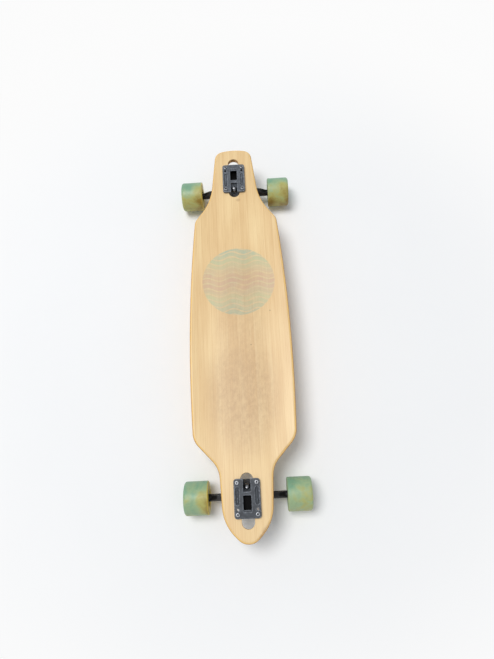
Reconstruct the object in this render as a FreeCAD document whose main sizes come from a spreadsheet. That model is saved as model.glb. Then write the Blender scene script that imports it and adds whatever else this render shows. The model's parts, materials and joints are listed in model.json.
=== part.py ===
"""Drop-through longboard skateboard as a parametric FreeCAD document, in millimetres.

Frame: +X right, +Y towards the nose, +Z up, origin on the floor under the middle of the deck.
Each truck is drawn in its own frame: origin on the deck's top face in the middle of the bolt
pattern, +Y outboard. The pieces on a kingpin are drawn in the steering frame of their truck:
origin in the middle of the hanger's ring, +Y out along the steering axis, +Z up the kingpin.
Each wheel is drawn about the middle of its bearings, +X away from the truck.
"""
import FreeCAD
import Part
import math
import os
import Sketcher
from FreeCAD import Placement, Rotation, Vector

# Driving dimensions: lengths in millimetres, angles in degrees, the rest counts.
DIMENSIONS = {
    # Deck
    "deck_length": 956,
    "deck_width": 235,
    "deck_thickness": 12,
    "veneer_thickness": 1.6,
    "edge_radius": 5,
    "edge_share": 0.45,
    "flat_half_width": 45,
    "concave_radius": 420,
    "side_radius": 3700,
    "widest_setback": 75,
    "nose_half_width": 45.5,
    "nose_corner_radius": 24,
    "nose_end_radius": 150,
    "front_waist_half_width": 61,
    "front_waist_inset": 60,
    "front_waist_radius": 150,
    "front_shoulder_inset": 116,
    "front_shoulder_radius": 28,
    "rear_waist_half_width": 58.3,
    "rear_waist_inset": 63.2,
    "rear_waist_radius": 56,
    "rear_shoulder_inset": 122.5,
    "rear_shoulder_radius": 45,
    "tail_half_width": 52.3,
    "tail_corner_radius": 90,
    "tail_tip_radius": 30.8,
    "truck_setback_length": 90,
    "slot_length": 113,
    "slot_shift": 4.4,
    "slot_clearance": 1.25,
    # Mounting bolts
    "bolt_spacing_x": 41.3,
    "bolt_spacing_y": 63.5,
    "bolt_diameter": 4.8,
    "bolt_clearance": 0.35,
    "bolt_head_diameter": 9,
    "bolt_head_height": 2.8,
    "bolt_head_dome": 1.6,
    "bolt_tail": 1.5,
    "drive_length": 5,
    "drive_width": 1.5,
    "drive_depth": 1.8,
    "bolt_nut_width": 9.5,
    "bolt_nut_height": 6,
    "spare_hole_step": 9.7,
    # Baseplate
    "plate_margin_x": 7.35,
    "plate_margin_y": 8.25,
    "plate_thickness": 6.5,
    "plate_corner_radius": 6,
    "plate_edge_round": 1,
    "boss_width": 25,
    "tongue_setback": 1,
    "tongue_gap": 3,
    "window_width": 17,
    "window_inboard": 6,
    "window_outboard": 22.7,
    "window_corner_radius": 2,
    "window_floor": 2,
    "lip_length": 4,
    "lip_depth": 1.5,
    "bar_width": 7.5,
    "notch_clearance": 0.75,
    "pocket_width": 7.5,
    "pocket_length": 36,
    "pocket_shift": 5,
    "pocket_depth": 3.5,
    "pocket_rib": 1.8,
    "pocket_rib_drop": 1.2,
    # Kingpin stack
    "kingpin_tilt": 45,
    "kingpin_diameter": 9.5,
    "kingpin_clearance": 0.15,
    "kingpin_head_height": 6.5,
    "kingpin_hex_width": 14.3,
    "kingpin_nut_height": 9,
    "kingpin_tail": 2,
    "seat_wall": 8.5,
    "bushing_diameter": 24,
    "bushing_height": 15,
    "bushing_waist": 1.2,
    "bushing_seat_depth": 2.5,
    "bushing_seat_clearance": 0.3,
    "washer_thickness": 1.5,
    "washer_rim_height": 2,
    "washer_rim_width": 0.8,
    # Hanger and its pivot
    "ring_inset": 4,
    "ring_wall": 4.7,
    "ring_thickness": 10,
    "ring_bore": 16,
    "ring_clearance": 2.5,
    "web_clearance": 1.4,
    "web_thickness": 10,
    "web_top_half_width": 15,
    "web_shoulder_half_width": 22,
    "web_shoulder_drop": 8,
    "arm_setback": 18,
    "arm_rise": 4,
    "haunch_thickness": 11,
    "haunch_setback": 4,
    "haunch_end_rise": 5,
    "haunch_knee_rise": 15,
    "haunch_crest_rise": 20,
    "haunch_knee_share": 0.72,
    "haunch_crest_share": 0.38,
    "nose_root_radius": 7.6,
    "nose_radius": 6.2,
    "nose_reach": 36.2,
    "pivot_clearance": 0.1,
    "cup_wall": 2.3,
    "cup_floor": 1.2,
    "cup_length": 10.5,
    "tower_wall": 2.4,
    "tower_floor": 2,
    "arm_step": 6,
    "arm_gap": 1.2,
    "hanger_end_diameter": 16,
    "axle_inset": 4.7,
    "axle_below_ring": 32,
    # Axle and bearings
    "axle_diameter": 7.94,
    "axle_length": 247.65,
    "axle_tail": 0.825,
    "axle_fit": 0.02,
    "bore_clearance": 0.03,
    "bearing_diameter": 22,
    "bearing_width": 7,
    "bearing_fit": 0.01,
    "ball_diameter": 3.969,
    "ball_count": 7,
    "ball_clearance": 0.06,
    "shoulder_step": 1.5,
    "shield_thickness": 0.4,
    "shield_seat": 0.6,
    "shield_gap": 0.3,
    "spacer_length": 10,
    "spacer_wall": 1,
    "speed_ring_thickness": 1,
    "speed_ring_step": 0.2,
    "axle_nut_width": 12.7,
    "axle_nut_height": 7,
    # Wheel
    "wheel_diameter": 73,
    "wheel_width": 54,
    "wheel_overlap": 4,
    "outer_lip_radius": 6,
    "inner_lip_radius": 2.5,
    "outer_dish_radius": 26,
    "inner_dish_radius": 20,
    "core_wall": 6,
    "core_overhang": 1,
    "core_shoulder": 2.5,
    # All pieces
    "thread_clearance": 0.02,
    "overcut": 1,
}

# Sizes that follow from the driving dimensions, in the order in which they are worked out.
DERIVED = {
    "truck_y": "dim.deck_length / 2 - dim.truck_setback_length",
    "slot_width": "dim.boss_width + 2 * dim.slot_clearance",
    "hole_radius": "dim.bolt_diameter / 2 + dim.bolt_clearance",
    "plate_width": "dim.bolt_spacing_x + 2 * dim.plate_margin_x",
    "plate_length": "dim.bolt_spacing_y + 2 * dim.plate_margin_y",
    "spare_hole_y": "dim.bolt_spacing_y / 2 - dim.spare_hole_step",
    "tongue_depth": "dim.deck_thickness - dim.tongue_gap",
    "edge_round": "min(dim.edge_radius; dim.edge_share * dim.deck_thickness)",
    "blank_half_width": "dim.deck_width / 2 + dim.edge_radius",
    "blank_length": "dim.deck_length + 2 * dim.truck_setback_length",
    "through": "dim.deck_length",
    # Deck outline
    "nose_corner_y": "dim.deck_length / 2 - dim.nose_end_radius"
                     " + sqrt(dim.nose_end_radius ^ 2 - dim.nose_half_width ^ 2)",
    "tail_tip_y": "-dim.deck_length / 2 - dim.tail_tip_radius * (sqrt(2) - 1)",
    "tail_corner_y": "tail_tip_y + dim.tail_half_width",
    "front_shoulder_y": "truck_y - dim.front_shoulder_inset",
    "rear_shoulder_y": "dim.rear_shoulder_inset - truck_y",
    "front_shoulder_x": "dim.deck_width / 2 - dim.side_radius"
                        " + sqrt(dim.side_radius ^ 2 - (front_shoulder_y + dim.widest_setback) ^ 2)",
    "rear_shoulder_x": "dim.deck_width / 2 - dim.side_radius"
                       " + sqrt(dim.side_radius ^ 2 - (rear_shoulder_y + dim.widest_setback) ^ 2)",
    # Kingpin stack, measured up the kingpin from the middle of the hanger's ring
    "kingpin_bore": "dim.kingpin_diameter / 2 + dim.kingpin_clearance",
    "bushing_foot": "dim.ring_thickness / 2 - dim.bushing_seat_depth",
    "bushing_end": "bushing_foot + dim.bushing_height",
    "seat_height": "bushing_end + dim.washer_thickness",
    "head_foot": "seat_height + dim.seat_wall",
    "washer_radius": "dim.bushing_diameter / 2 + dim.bushing_seat_clearance + dim.washer_rim_width",
    "seat_radius": "dim.bushing_diameter / 2 + dim.bushing_seat_clearance",
    "ring_radius": "seat_radius + dim.ring_wall",
    "ring_drop": "dim.deck_thickness + dim.ring_clearance + ring_radius * sin(dim.kingpin_tilt)"
                 " + dim.ring_thickness / 2 * cos(dim.kingpin_tilt)",
    # Axle in the steering frame
    "axle_drop": "ring_drop + dim.axle_below_ring",
    "axle_along": "(dim.ring_inset - dim.axle_inset) * cos(dim.kingpin_tilt)"
                  " - dim.axle_below_ring * sin(dim.kingpin_tilt)",
    "axle_up": "-(dim.ring_inset - dim.axle_inset) * sin(dim.kingpin_tilt)"
               " - dim.axle_below_ring * cos(dim.kingpin_tilt)",
    # Pivot, measured inboard along the steering axis
    "cup_radius": "dim.nose_radius + dim.pivot_clearance + dim.cup_wall",
    "cup_end": "dim.nose_reach + dim.pivot_clearance + dim.cup_floor",
    "cup_mouth": "cup_end - dim.cup_length",
    "tower_radius": "cup_radius + dim.tower_wall",
    "tower_end": "cup_end + dim.tower_floor",
    "web_face": "washer_radius + dim.web_clearance",
    "web_back": "web_face + dim.web_thickness",
    # Wheel and bearings, measured from the middle of the bearings
    "deck_top": "dim.wheel_diameter / 2 + axle_drop",
    "axle_radius": "dim.axle_diameter / 2",
    "bore_radius": "axle_radius + dim.bore_clearance",
    "race_radius": "dim.bearing_diameter / 2",
    "ball_radius": "dim.ball_diameter / 2",
    "pitch_radius": "(bore_radius + race_radius) / 2",
    "bearing_near": "dim.spacer_length / 2",
    "bearing_far": "bearing_near + dim.bearing_width",
    "bearing_middle": "bearing_near + dim.bearing_width / 2",
    "groove_radius": "ball_radius + dim.ball_clearance",
    "outer_shoulder": "pitch_radius + dim.shoulder_step",
    "inner_shoulder": "pitch_radius - dim.shoulder_step",
    "groove_half": "sqrt(groove_radius ^ 2 - dim.shoulder_step ^ 2)",
    "shield_radius": "outer_shoulder + dim.shield_seat",
    "ring_end": "bearing_far + dim.speed_ring_thickness",
    "hub_x": "dim.axle_length / 2 - dim.axle_tail - dim.axle_nut_height - ring_end",
    "hanger_width": "2 * (hub_x - ring_end)",
    "arm_reach": "hanger_width / 2 - dim.arm_setback",
    "haunch_end": "hanger_width / 2 - dim.haunch_setback",
    "haunch_run": "haunch_end - dim.web_shoulder_half_width",
    "haunch_crest": "dim.web_shoulder_half_width + dim.haunch_crest_share * haunch_run",
    "haunch_knee": "dim.web_shoulder_half_width + dim.haunch_knee_share * haunch_run",
    "core_radius": "race_radius + dim.core_wall",
    "core_half": "bearing_far + dim.core_overhang",
    "tyre_inner": "ring_end + dim.wheel_overlap",
    "tyre_outer": "dim.wheel_width - tyre_inner",
}

# Places closer together than this, in millimetres, are the same place.
NEAR = 0.01
# A face whose normal rises less than this is a wall.
WALL_RISE = 0.01

doc = FreeCAD.newDocument("longboard")
parts = {}


def fill_sheet(name, cells):
    """Make a spreadsheet with one aliased cell per entry, its name beside it."""
    sheet = doc.addObject("Spreadsheet::Sheet", name)
    for row, (alias, content) in enumerate(cells.items(), 1):
        sheet.set(f"A{row}", alias)
        sheet.set(f"B{row}", content)
        sheet.setAlias(f"B{row}", alias)
    doc.recompute()
    return sheet


dim = fill_sheet("dim", {alias: str(number) for alias, number in DIMENSIONS.items()})
fit = fill_sheet("fit", {alias: f"={formula}" for alias, formula in DERIVED.items()})


def frame_at(x, y, z, axis="0; 0; 1", angle="0"):
    """An expression for a frame moved to a point and turned about an axis."""
    return f"placement(vector({x}; {y}; {z}); rotation(vector({axis}); {angle}))"


def new_body(label, place):
    """Start a sub-part's body under its own label, in a frame given by an expression."""
    body = doc.addObject("PartDesign::Body", label)
    body.Label = label
    body.setExpression("Placement", place)
    return body


def keep(label, piece):
    """List a finished sub-part for the export."""
    parts[label] = piece


def origin_feature(body, role):
    """Find a plane or axis of the body's own origin."""
    return next(item for item in body.Origin.OriginFeatures if item.Role == role)


def new_sketch(body, plane, name, lift=None):
    """Attach a sketch to an origin plane, raised along the plane's normal by an expression."""
    sketch = body.newObject("Sketcher::SketchObject", name)
    sketch.AttachmentSupport = [(origin_feature(body, plane), "")]
    sketch.MapMode = "FlatFace"
    if lift is not None:
        sketch.setExpression("AttachmentOffset.Base.z", lift)
    return sketch


def steering_sketch(body, name):
    """A sketch in a truck's middle plane, turned and moved into its steering frame."""
    sketch = new_sketch(body, "YZ_Plane", name)
    sketch.AttachmentOffset = Placement(Vector(), Rotation(Vector(0, 0, 1), 1))
    sketch.setExpression("AttachmentOffset.Base.x", "-dim.ring_inset")
    sketch.setExpression("AttachmentOffset.Base.y", "-fit.ring_drop")
    sketch.setExpression("AttachmentOffset.Rotation.Angle", "dim.kingpin_tilt")
    return sketch


def measure(sketch, expression):
    """The present value of an expression."""
    return float(sketch.evalExpression(expression))


def bind(sketch, constraint, expression):
    """Add a dimension to a sketch and tie it to an expression."""
    index = sketch.addConstraint(constraint)
    sketch.setExpression(f"Constraints[{index}]", expression)


def fix_point(sketch, edge, end, x, y):
    """Tie one end of an edge to the expressions of its two coordinates."""
    for kind, axis, expression in (("DistanceX", -2, x), ("DistanceY", -1, y)):
        if expression == "0":
            sketch.addConstraint(Sketcher.Constraint("PointOnObject", edge, end, axis))
        else:
            number = measure(sketch, expression)
            bind(sketch, Sketcher.Constraint(kind, -1, 1, edge, end, number), expression)


def arc_between(start, stop, radius, turn):
    """The short arc from start to stop, turning left where turn is 1 and right where it is -1."""
    chord = stop.sub(start)
    left = Vector(-chord.y, chord.x, 0).normalize()
    height = math.sqrt(max(radius ** 2 - (chord.Length / 2) ** 2, 0))
    centre = start.add(stop).multiply(0.5).add(left.multiply(turn * height))
    ends = (start, stop) if turn > 0 else (stop, start)
    angles = [math.atan2(end.y - centre.y, end.x - centre.x) for end in ends]
    return Part.ArcOfCircle(Part.Circle(centre, Vector(0, 0, 1), radius), *angles)


def draw_outline(sketch, corners, arcs=None):
    """Close a chain of edges through corners, each a pair of expressions.

    arcs maps the index of an edge to its radius expression and turn, and for a half circle also
    the height of its centre; other edges are straight.
    """
    arcs = arcs or {}
    first = sketch.GeometryCount
    places = [Vector(measure(sketch, x), measure(sketch, y), 0) for x, y in corners]
    starts = []
    for index, start in enumerate(places):
        stop = places[(index + 1) % len(places)]
        if index in arcs:
            radius, turn, *height = arcs[index]
            size = measure(sketch, radius)
            edge = sketch.addGeometry(arc_between(start, stop, size, turn))
            if height:
                level = Sketcher.Constraint("DistanceY", -1, 1, edge, 3, measure(sketch, height[0]))
                bind(sketch, level, height[0])
            else:
                bind(sketch, Sketcher.Constraint("Radius", edge, size), radius)
            starts.append(1 if turn > 0 else 2)
        else:
            sketch.addGeometry(Part.LineSegment(start, stop))
            starts.append(1)
    for index, (x, y) in enumerate(corners):
        before = (index - 1) % len(corners)
        sketch.addConstraint(Sketcher.Constraint(
            "Coincident", first + before, 3 - starts[before], first + index, starts[index]))
        fix_point(sketch, first + index, starts[index], x, y)


def draw_box(sketch, left, right, bottom, top):
    """Draw a rectangle between four expressions."""
    draw_outline(sketch, [(left, bottom), (right, bottom), (right, top), (left, top)])


def draw_rounded_box(sketch, left, right, bottom, top, radius):
    """Draw a rectangle with rounded corners."""
    corner = (radius, 1)
    draw_outline(sketch, [
        (f"{left} + {radius}", bottom), (f"{right} - {radius}", bottom),
        (right, f"{bottom} + {radius}"), (right, f"{top} - {radius}"),
        (f"{right} - {radius}", top), (f"{left} + {radius}", top),
        (left, f"{top} - {radius}"), (left, f"{bottom} + {radius}"),
    ], {1: corner, 3: corner, 5: corner, 7: corner})


def draw_circle(sketch, radius, x="0", y="0"):
    """Draw a circle about a point."""
    centre = Vector(measure(sketch, x), measure(sketch, y), 0)
    circle = sketch.addGeometry(Part.Circle(centre, Vector(0, 0, 1), measure(sketch, radius)))
    bind(sketch, Sketcher.Constraint("Radius", circle, measure(sketch, radius)), radius)
    fix_point(sketch, circle, 3, x, y)


def draw_slot(sketch, x, middle, length, width):
    """Draw a slot with round ends along Y."""
    low = f"({middle}) - ({length}) / 2 + ({width}) / 2"
    high = f"({middle}) + ({length}) / 2 - ({width}) / 2"
    left = f"({x}) - ({width}) / 2"
    right = f"({x}) + ({width}) / 2"
    radius = f"({width}) / 2"
    draw_outline(sketch, [(left, low), (right, low), (right, high), (left, high)],
                 {0: (radius, 1, low), 2: (radius, 1, high)})


def draw_hexagon(sketch, width, x="0", y="0"):
    """Draw a hexagon with two flats across X."""
    corners = []
    for step in range(6):
        angle = 30 + 60 * step
        corners.append((f"({x}) + ({width}) / sqrt(3) * cos({angle})",
                        f"({y}) + ({width}) / sqrt(3) * sin({angle})"))
    draw_outline(sketch, corners)


def add_feature(body, kind, name, sketch):
    """Add a sketch-based feature to a body."""
    feature = body.newObject(f"PartDesign::{kind}", name)
    feature.Profile = sketch
    return feature


def pad(body, sketch, length, name, both_ways=False, backwards=False):
    """Add material along the sketch's normal."""
    feature = add_feature(body, "Pad", name, sketch)
    feature.SideType = "Symmetric" if both_ways else "One side"
    feature.Reversed = backwards
    feature.setExpression("Length", length)
    return feature


def cut(body, sketch, length, name, both_ways=False, backwards=False):
    """Remove material against the sketch's normal, or to both sides of it."""
    feature = add_feature(body, "Pocket", name, sketch)
    feature.SideType = "Symmetric" if both_ways else "One side"
    feature.Reversed = backwards
    feature.setExpression("Length", length)
    return feature


def turn(body, sketch, axis, name):
    """Add a full turn of the sketch about one of its own axes."""
    feature = add_feature(body, "Revolution", name, sketch)
    feature.ReferenceAxis = (sketch, [axis])
    feature.Angle = 360
    return feature


def turn_out(body, sketch, axis, name):
    """Remove a full turn of the sketch about one of its own axes."""
    feature = add_feature(body, "Groove", name, sketch)
    feature.ReferenceAxis = (sketch, [axis])
    feature.Angle = 360
    return feature


def round_edges(body, feature, wanted, radius, name):
    """Round the edges of a feature that a test picks out."""
    doc.recompute()
    names = [f"Edge{index}" for index, edge in enumerate(feature.Shape.Edges, 1) if wanted(edge)]
    fillet = body.newObject("PartDesign::Fillet", name)
    fillet.Base = (feature, names)
    fillet.setExpression("Radius", radius)
    return fillet


def mirror(body, originals, plane, name):
    """Copy features to the other side of an origin plane."""
    feature = body.newObject("PartDesign::Mirrored", name)
    feature.Originals = originals
    feature.MirrorPlane = (origin_feature(body, plane), [""])
    body.Tip = feature
    return feature


def is_upright(edge):
    """Whether an edge is a straight line along Z."""
    ends = [vertex.Point for vertex in edge.Vertexes]
    return len(ends) == 2 and math.hypot(ends[0].x - ends[1].x, ends[0].y - ends[1].y) < NEAR


def stands_at(edge, x, y):
    """Whether an upright edge stands at a point, on either side of the middle."""
    place = edge.Vertexes[0].Point
    return is_upright(edge) and math.hypot(abs(place.x) - x, place.y - y) < NEAR


def lies_at(edge, height):
    """Whether an edge lies level at a height."""
    box = edge.BoundBox
    return abs(box.ZMin - height) < NEAR and abs(box.ZMax - height) < NEAR


# Deck


def draw_press_profile(sketch, top_depth, bottom_depth):
    """Draw the pressed cross-section of a layer between two depths: flat, with rising rails."""
    flat = "dim.flat_half_width"
    rail = "fit.blank_half_width"

    def radius(depth):
        return f"(dim.concave_radius + {depth})"

    def middle_level(depth):
        return "0" if depth == "0" else f"-({depth})"

    def rail_level(depth):
        return f"dim.concave_radius - sqrt({radius(depth)} ^ 2 - ({rail} - {flat}) ^ 2)"

    low, high = middle_level(bottom_depth), middle_level(top_depth)
    low_rail, high_rail = rail_level(bottom_depth), rail_level(top_depth)
    below, above = (radius(bottom_depth), 1), (radius(top_depth), -1)
    draw_outline(sketch, [
        (f"-{rail}", low_rail), (f"-{flat}", low), (flat, low), (rail, low_rail),
        (rail, high_rail), (flat, high), (f"-{flat}", high), (f"-{rail}", high_rail),
    ], {0: below, 2: below, 4: above, 6: above})


def press_layer(label, top_depth, bottom_depth):
    """A pressed sheet, longer and wider than the deck."""
    body = new_body(label, frame_at("0", "0", "fit.deck_top"))
    profile = new_sketch(body, "XZ_Plane", f"{label}_profile")
    draw_press_profile(profile, top_depth, bottom_depth)
    pad(body, profile, "fit.blank_length", f"{label}_sheet", both_ways=True)
    return body


def deck_corners():
    """The corners down the deck's right side, from the nose to the tail, with their radii."""
    return [
        ("dim.nose_half_width", "fit.nose_corner_y", "dim.nose_corner_radius"),
        ("dim.front_waist_half_width", "fit.truck_y - dim.front_waist_inset", "dim.front_waist_radius"),
        ("fit.front_shoulder_x", "fit.front_shoulder_y", "dim.front_shoulder_radius"),
        ("fit.rear_shoulder_x", "fit.rear_shoulder_y", "dim.rear_shoulder_radius"),
        ("dim.rear_waist_half_width", "dim.rear_waist_inset - fit.truck_y", "dim.rear_waist_radius"),
        ("dim.tail_half_width", "fit.tail_corner_y", "dim.tail_corner_radius"),
    ]


def trim_to_outline(body):
    """Saw the pressed sheet to the deck's outline and round its corners."""
    right = deck_corners()
    tip = ("0", "fit.tail_tip_y", "dim.tail_tip_radius")
    corners = [(x, y) for x, y, _ in right]
    corners.append(tip[:2])
    corners += [(f"-({x})", y) for x, y, _ in reversed(right)]
    saw = new_sketch(body, "XY_Plane", "deck_outline")
    side = ("dim.side_radius", -1)
    shoulder = 2
    nose_end = len(corners) - 1
    other_shoulder = nose_end - 1 - shoulder
    arcs = {shoulder: side, other_shoulder: side, nose_end: ("dim.nose_end_radius", -1)}
    draw_outline(saw, corners, arcs)
    draw_box(saw, "-dim.deck_width", "dim.deck_width", "-dim.deck_length", "dim.deck_length")
    last = cut(body, saw, "fit.through", "deck_sawn", both_ways=True)
    for number, (x, y, radius) in enumerate(right + [tip]):
        place = (measure(saw, x), measure(saw, y))
        last = round_edges(body, last, lambda edge: stands_at(edge, *place), radius, f"corner_{number}")
    return last


def round_rim(body, trimmed):
    """Round the deck's edge over, above and below."""
    doc.recompute()
    shape = trimmed.Shape

    def is_wall(face):
        low, high, near, far = face.ParameterRange
        return abs(face.normalAt((low + high) / 2, (near + far) / 2).z) < WALL_RISE

    def on_rim(edge):
        faces = shape.ancestorsOfType(edge, Part.Face)
        return sum(is_wall(face) for face in faces) == 1

    return round_edges(body, trimmed, on_rim, "fit.edge_round", "rim_round")


def cut_truck_openings(body):
    """Cut the slots that the trucks drop through, their bolt holes and the spare holes."""
    slots = new_sketch(body, "XY_Plane", "truck_slots")
    holes = new_sketch(body, "XY_Plane", "truck_holes")
    for sign in ("", "-"):
        draw_slot(slots, "0", f"{sign}(fit.truck_y + dim.slot_shift)", "dim.slot_length", "fit.slot_width")
        for x, y in hole_places():
            draw_circle(holes, "fit.hole_radius", f"{sign}({x})", f"{sign}(fit.truck_y + {y})")
    cut(body, slots, "fit.through", "slots", both_ways=True)
    cut(body, holes, "fit.through", "holes", both_ways=True)


def hole_places():
    """The four bolt holes and two spare holes of a truck, in its own frame."""
    places = []
    for side in ("", "-"):
        x = f"{side}dim.bolt_spacing_x / 2"
        places.append((x, "dim.bolt_spacing_y / 2"))
        places.append((x, "-dim.bolt_spacing_y / 2"))
        places.append((x, "fit.spare_hole_y"))
    return places


def build_deck():
    """The laminated deck: one shaped blank, shared out to its three layers."""
    blank = press_layer("deck_blank", "0", "dim.deck_thickness")
    doc.recompute()
    round_rim(blank, trim_to_outline(blank))
    cut_truck_openings(blank)
    core_foot = "dim.deck_thickness - dim.veneer_thickness"
    layers = {
        "deck_top_veneer": ("0", "dim.veneer_thickness"),
        "deck_core": ("dim.veneer_thickness", core_foot),
        "deck_bottom_veneer": (core_foot, "dim.deck_thickness"),
    }
    for label, (top_depth, bottom_depth) in layers.items():
        layer = doc.addObject("Part::Common", label)
        layer.Label = label
        layer.Base = blank
        layer.Tool = press_layer(f"{label}_sheet", top_depth, bottom_depth)
        keep(label, layer)


# Trucks


def truck_frame(heading):
    """A truck's own frame: heading 1 faces the nose, -1 the tail."""
    return frame_at("0", f"{heading} * fit.truck_y", "fit.deck_top", angle="0" if heading > 0 else "180")


def steering_frame(heading):
    """The steering frame of a truck."""
    tilted = frame_at("0", "-dim.ring_inset", "-fit.ring_drop", "1; 0; 0", "dim.kingpin_tilt")
    return f"{truck_frame(heading)} * {tilted}"


def axle_frame(heading):
    """A frame in the middle of a truck's axle."""
    return f"{truck_frame(heading)} * {frame_at('0', '-dim.axle_inset', '-fit.axle_drop')}"


def hub_frame(heading, side):
    """A frame in the middle of a wheel's bearings; side is 1 on the right and -1 on the left."""
    way = heading * side
    turned = frame_at(f"{way} * fit.hub_x", "0", "0", angle="0" if way > 0 else "180")
    return f"{axle_frame(heading)} * {turned}"


def build_baseplate(label, heading):
    """The cast baseplate: a flange on the deck, a boss through the slot, and the pivot tower."""
    body = new_body(label, truck_frame(heading))
    half_width = "fit.plate_width / 2"
    half_length = "fit.plate_length / 2"
    flange = new_sketch(body, "XY_Plane", "flange_outline")
    draw_rounded_box(flange, f"-{half_width}", half_width, f"-{half_length}", half_length,
                     "dim.plate_corner_radius")
    plate = pad(body, flange, "dim.plate_thickness", "flange")
    round_edges(body, plate, lambda edge: lies_at(edge, float(dim.plate_thickness)),
                "dim.plate_edge_round", "flange_edge")
    add_boss(body)
    add_tongue(body)
    add_tower(body)
    cut_notch(body)
    cut_window(body)
    cut_bores(body)
    cut_flange_top(body)
    keep(label, body)


def add_boss(body):
    """The wedge under the flange that carries the kingpin's seat, and the arm down to the pivot."""
    boss = steering_sketch(body, "boss_side")
    inboard = "(dim.ring_inset - fit.plate_length / 2)"
    tilt = "dim.kingpin_tilt"
    top_along = f"{inboard} * cos({tilt}) + fit.ring_drop * sin({tilt})"
    top_up = f"-{inboard} * sin({tilt}) + fit.ring_drop * cos({tilt})"
    tip_along = f"(fit.ring_drop - fit.seat_height * cos({tilt})) / sin({tilt})"
    back_up = f"(-fit.tower_end * cos({tilt}) - {inboard}) / sin({tilt})"
    step = "-(fit.washer_radius + dim.arm_gap)"
    arm_under = "fit.seat_height - dim.arm_step"
    draw_outline(boss, [
        (tip_along, "fit.seat_height"), (step, "fit.seat_height"), (step, arm_under),
        ("-fit.cup_mouth", arm_under), ("-fit.cup_mouth", "0"), ("-fit.tower_end", "0"),
        ("-fit.tower_end", back_up), (top_along, top_up),
    ])
    pad(body, boss, "dim.boss_width", "boss", both_ways=True)


def add_tongue(body):
    """The tongue under the flange that fills the slot's outboard half."""
    tongue = new_sketch(body, "XY_Plane", "tongue_outline")
    draw_box(tongue, "-dim.boss_width / 2", "dim.boss_width / 2",
             "-dim.window_inboard", "fit.plate_length / 2 - dim.tongue_setback")
    pad(body, tongue, "fit.tongue_depth", "tongue", backwards=True)
    relief = steering_sketch(body, "washer_relief")
    reach = "fit.washer_radius + dim.arm_gap"
    draw_box(relief, "0", reach, "0", "fit.seat_height")
    turn_out(body, relief, "V_Axis", "stack_relief")


def add_tower(body):
    """The round housing of the pivot cup."""
    tower = steering_sketch(body, "tower_half")
    draw_box(tower, "-fit.tower_end", "-fit.cup_mouth", "0", "fit.tower_radius")
    turn(body, tower, "H_Axis", "tower")


def cut_notch(body):
    """The notch that the kingpin's head drops into, open at the inboard end."""
    notch = new_sketch(body, "YZ_Plane", "notch_side")
    end = "-(dim.window_inboard + dim.bar_width)"
    past = "-fit.plate_length"
    above = "2 * dim.plate_thickness"
    tilt = "dim.kingpin_tilt"

    def floor_at(y):
        return (f"-fit.ring_drop + ({y} + dim.ring_inset) * tan({tilt})"
                f" + fit.head_foot / cos({tilt})")

    draw_outline(notch, [(end, above), (past, above), (past, floor_at(past)), (end, floor_at(end))])
    cut(body, notch, "dim.kingpin_hex_width + 2 * dim.notch_clearance", "notch", both_ways=True)


def cut_window(body):
    """The deep window in flange and tongue, with a thin floor and a shallow step at its outboard end."""
    window = new_sketch(body, "XY_Plane", "window_outline", lift="dim.plate_thickness")
    half = "dim.window_width / 2"
    draw_rounded_box(window, f"-{half}", half, "-dim.window_inboard", "dim.window_outboard",
                     "dim.window_corner_radius")
    cut(body, window, "dim.plate_thickness + fit.tongue_depth - dim.window_floor", "window")
    lip = new_sketch(body, "XY_Plane", "lip_outline", lift="dim.plate_thickness")
    draw_box(lip, f"-{half}", half, "dim.window_outboard - dim.window_corner_radius",
             "dim.window_outboard + dim.lip_length")
    cut(body, lip, "dim.lip_depth", "lip")


def cut_bores(body):
    """The kingpin's hole and the pivot cup's seat."""
    kingpin = steering_sketch(body, "kingpin_hole_half")
    draw_box(kingpin, "0", "fit.kingpin_bore", "0", "fit.head_foot + dim.overcut")
    turn_out(body, kingpin, "V_Axis", "kingpin_hole")
    cup = steering_sketch(body, "cup_seat_half")
    draw_box(cup, "-fit.cup_end", "-fit.cup_mouth + dim.overcut", "0", "fit.cup_radius")
    turn_out(body, cup, "H_Axis", "cup_seat")


def cut_flange_top(body):
    """The bolt holes, and the long side pockets with a rib along the middle of each."""
    holes = new_sketch(body, "XY_Plane", "bolt_holes")
    for x, y in hole_places():
        draw_circle(holes, "fit.hole_radius", x, y)
    cut(body, holes, "fit.through", "bolt_holes_cut", both_ways=True)
    pockets = new_sketch(body, "XY_Plane", "side_pockets", lift="dim.plate_thickness")
    ribs = new_sketch(body, "XY_Plane", "side_pocket_ribs", lift="dim.plate_thickness - dim.pocket_depth")
    half_rib = "dim.pocket_rib / 2"
    reach = "(dim.pocket_length / 2 - dim.pocket_width / 2)"
    for side in ("", "-"):
        x = f"{side}dim.bolt_spacing_x / 2"
        draw_slot(pockets, x, "-dim.pocket_shift", "dim.pocket_length", "dim.pocket_width")
        draw_box(ribs, f"{x} - {half_rib}", f"{x} + {half_rib}",
                 f"-dim.pocket_shift - {reach}", f"-dim.pocket_shift + {reach}")
    cut(body, pockets, "dim.pocket_depth", "pockets")
    pad(body, ribs, "dim.pocket_depth - dim.pocket_rib_drop", "pocket_ribs")


def build_pivot_cup(label, heading):
    """The plastic cup that the hanger's nose turns in."""
    body = new_body(label, steering_frame(heading))
    half = new_sketch(body, "YZ_Plane", "cup_half")
    bore = "dim.nose_radius + dim.pivot_clearance"
    bend = "-(dim.nose_reach - dim.nose_radius)"
    draw_outline(half, [
        ("-fit.cup_mouth", bore), ("-fit.cup_mouth", "fit.cup_radius"),
        ("-fit.cup_end", "fit.cup_radius"), ("-fit.cup_end", "0"),
        ("-(dim.nose_reach + dim.pivot_clearance)", "0"), (bend, bore),
    ], {4: (bore, -1)})
    turn(body, half, "H_Axis", "cup")
    keep(label, body)


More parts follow.
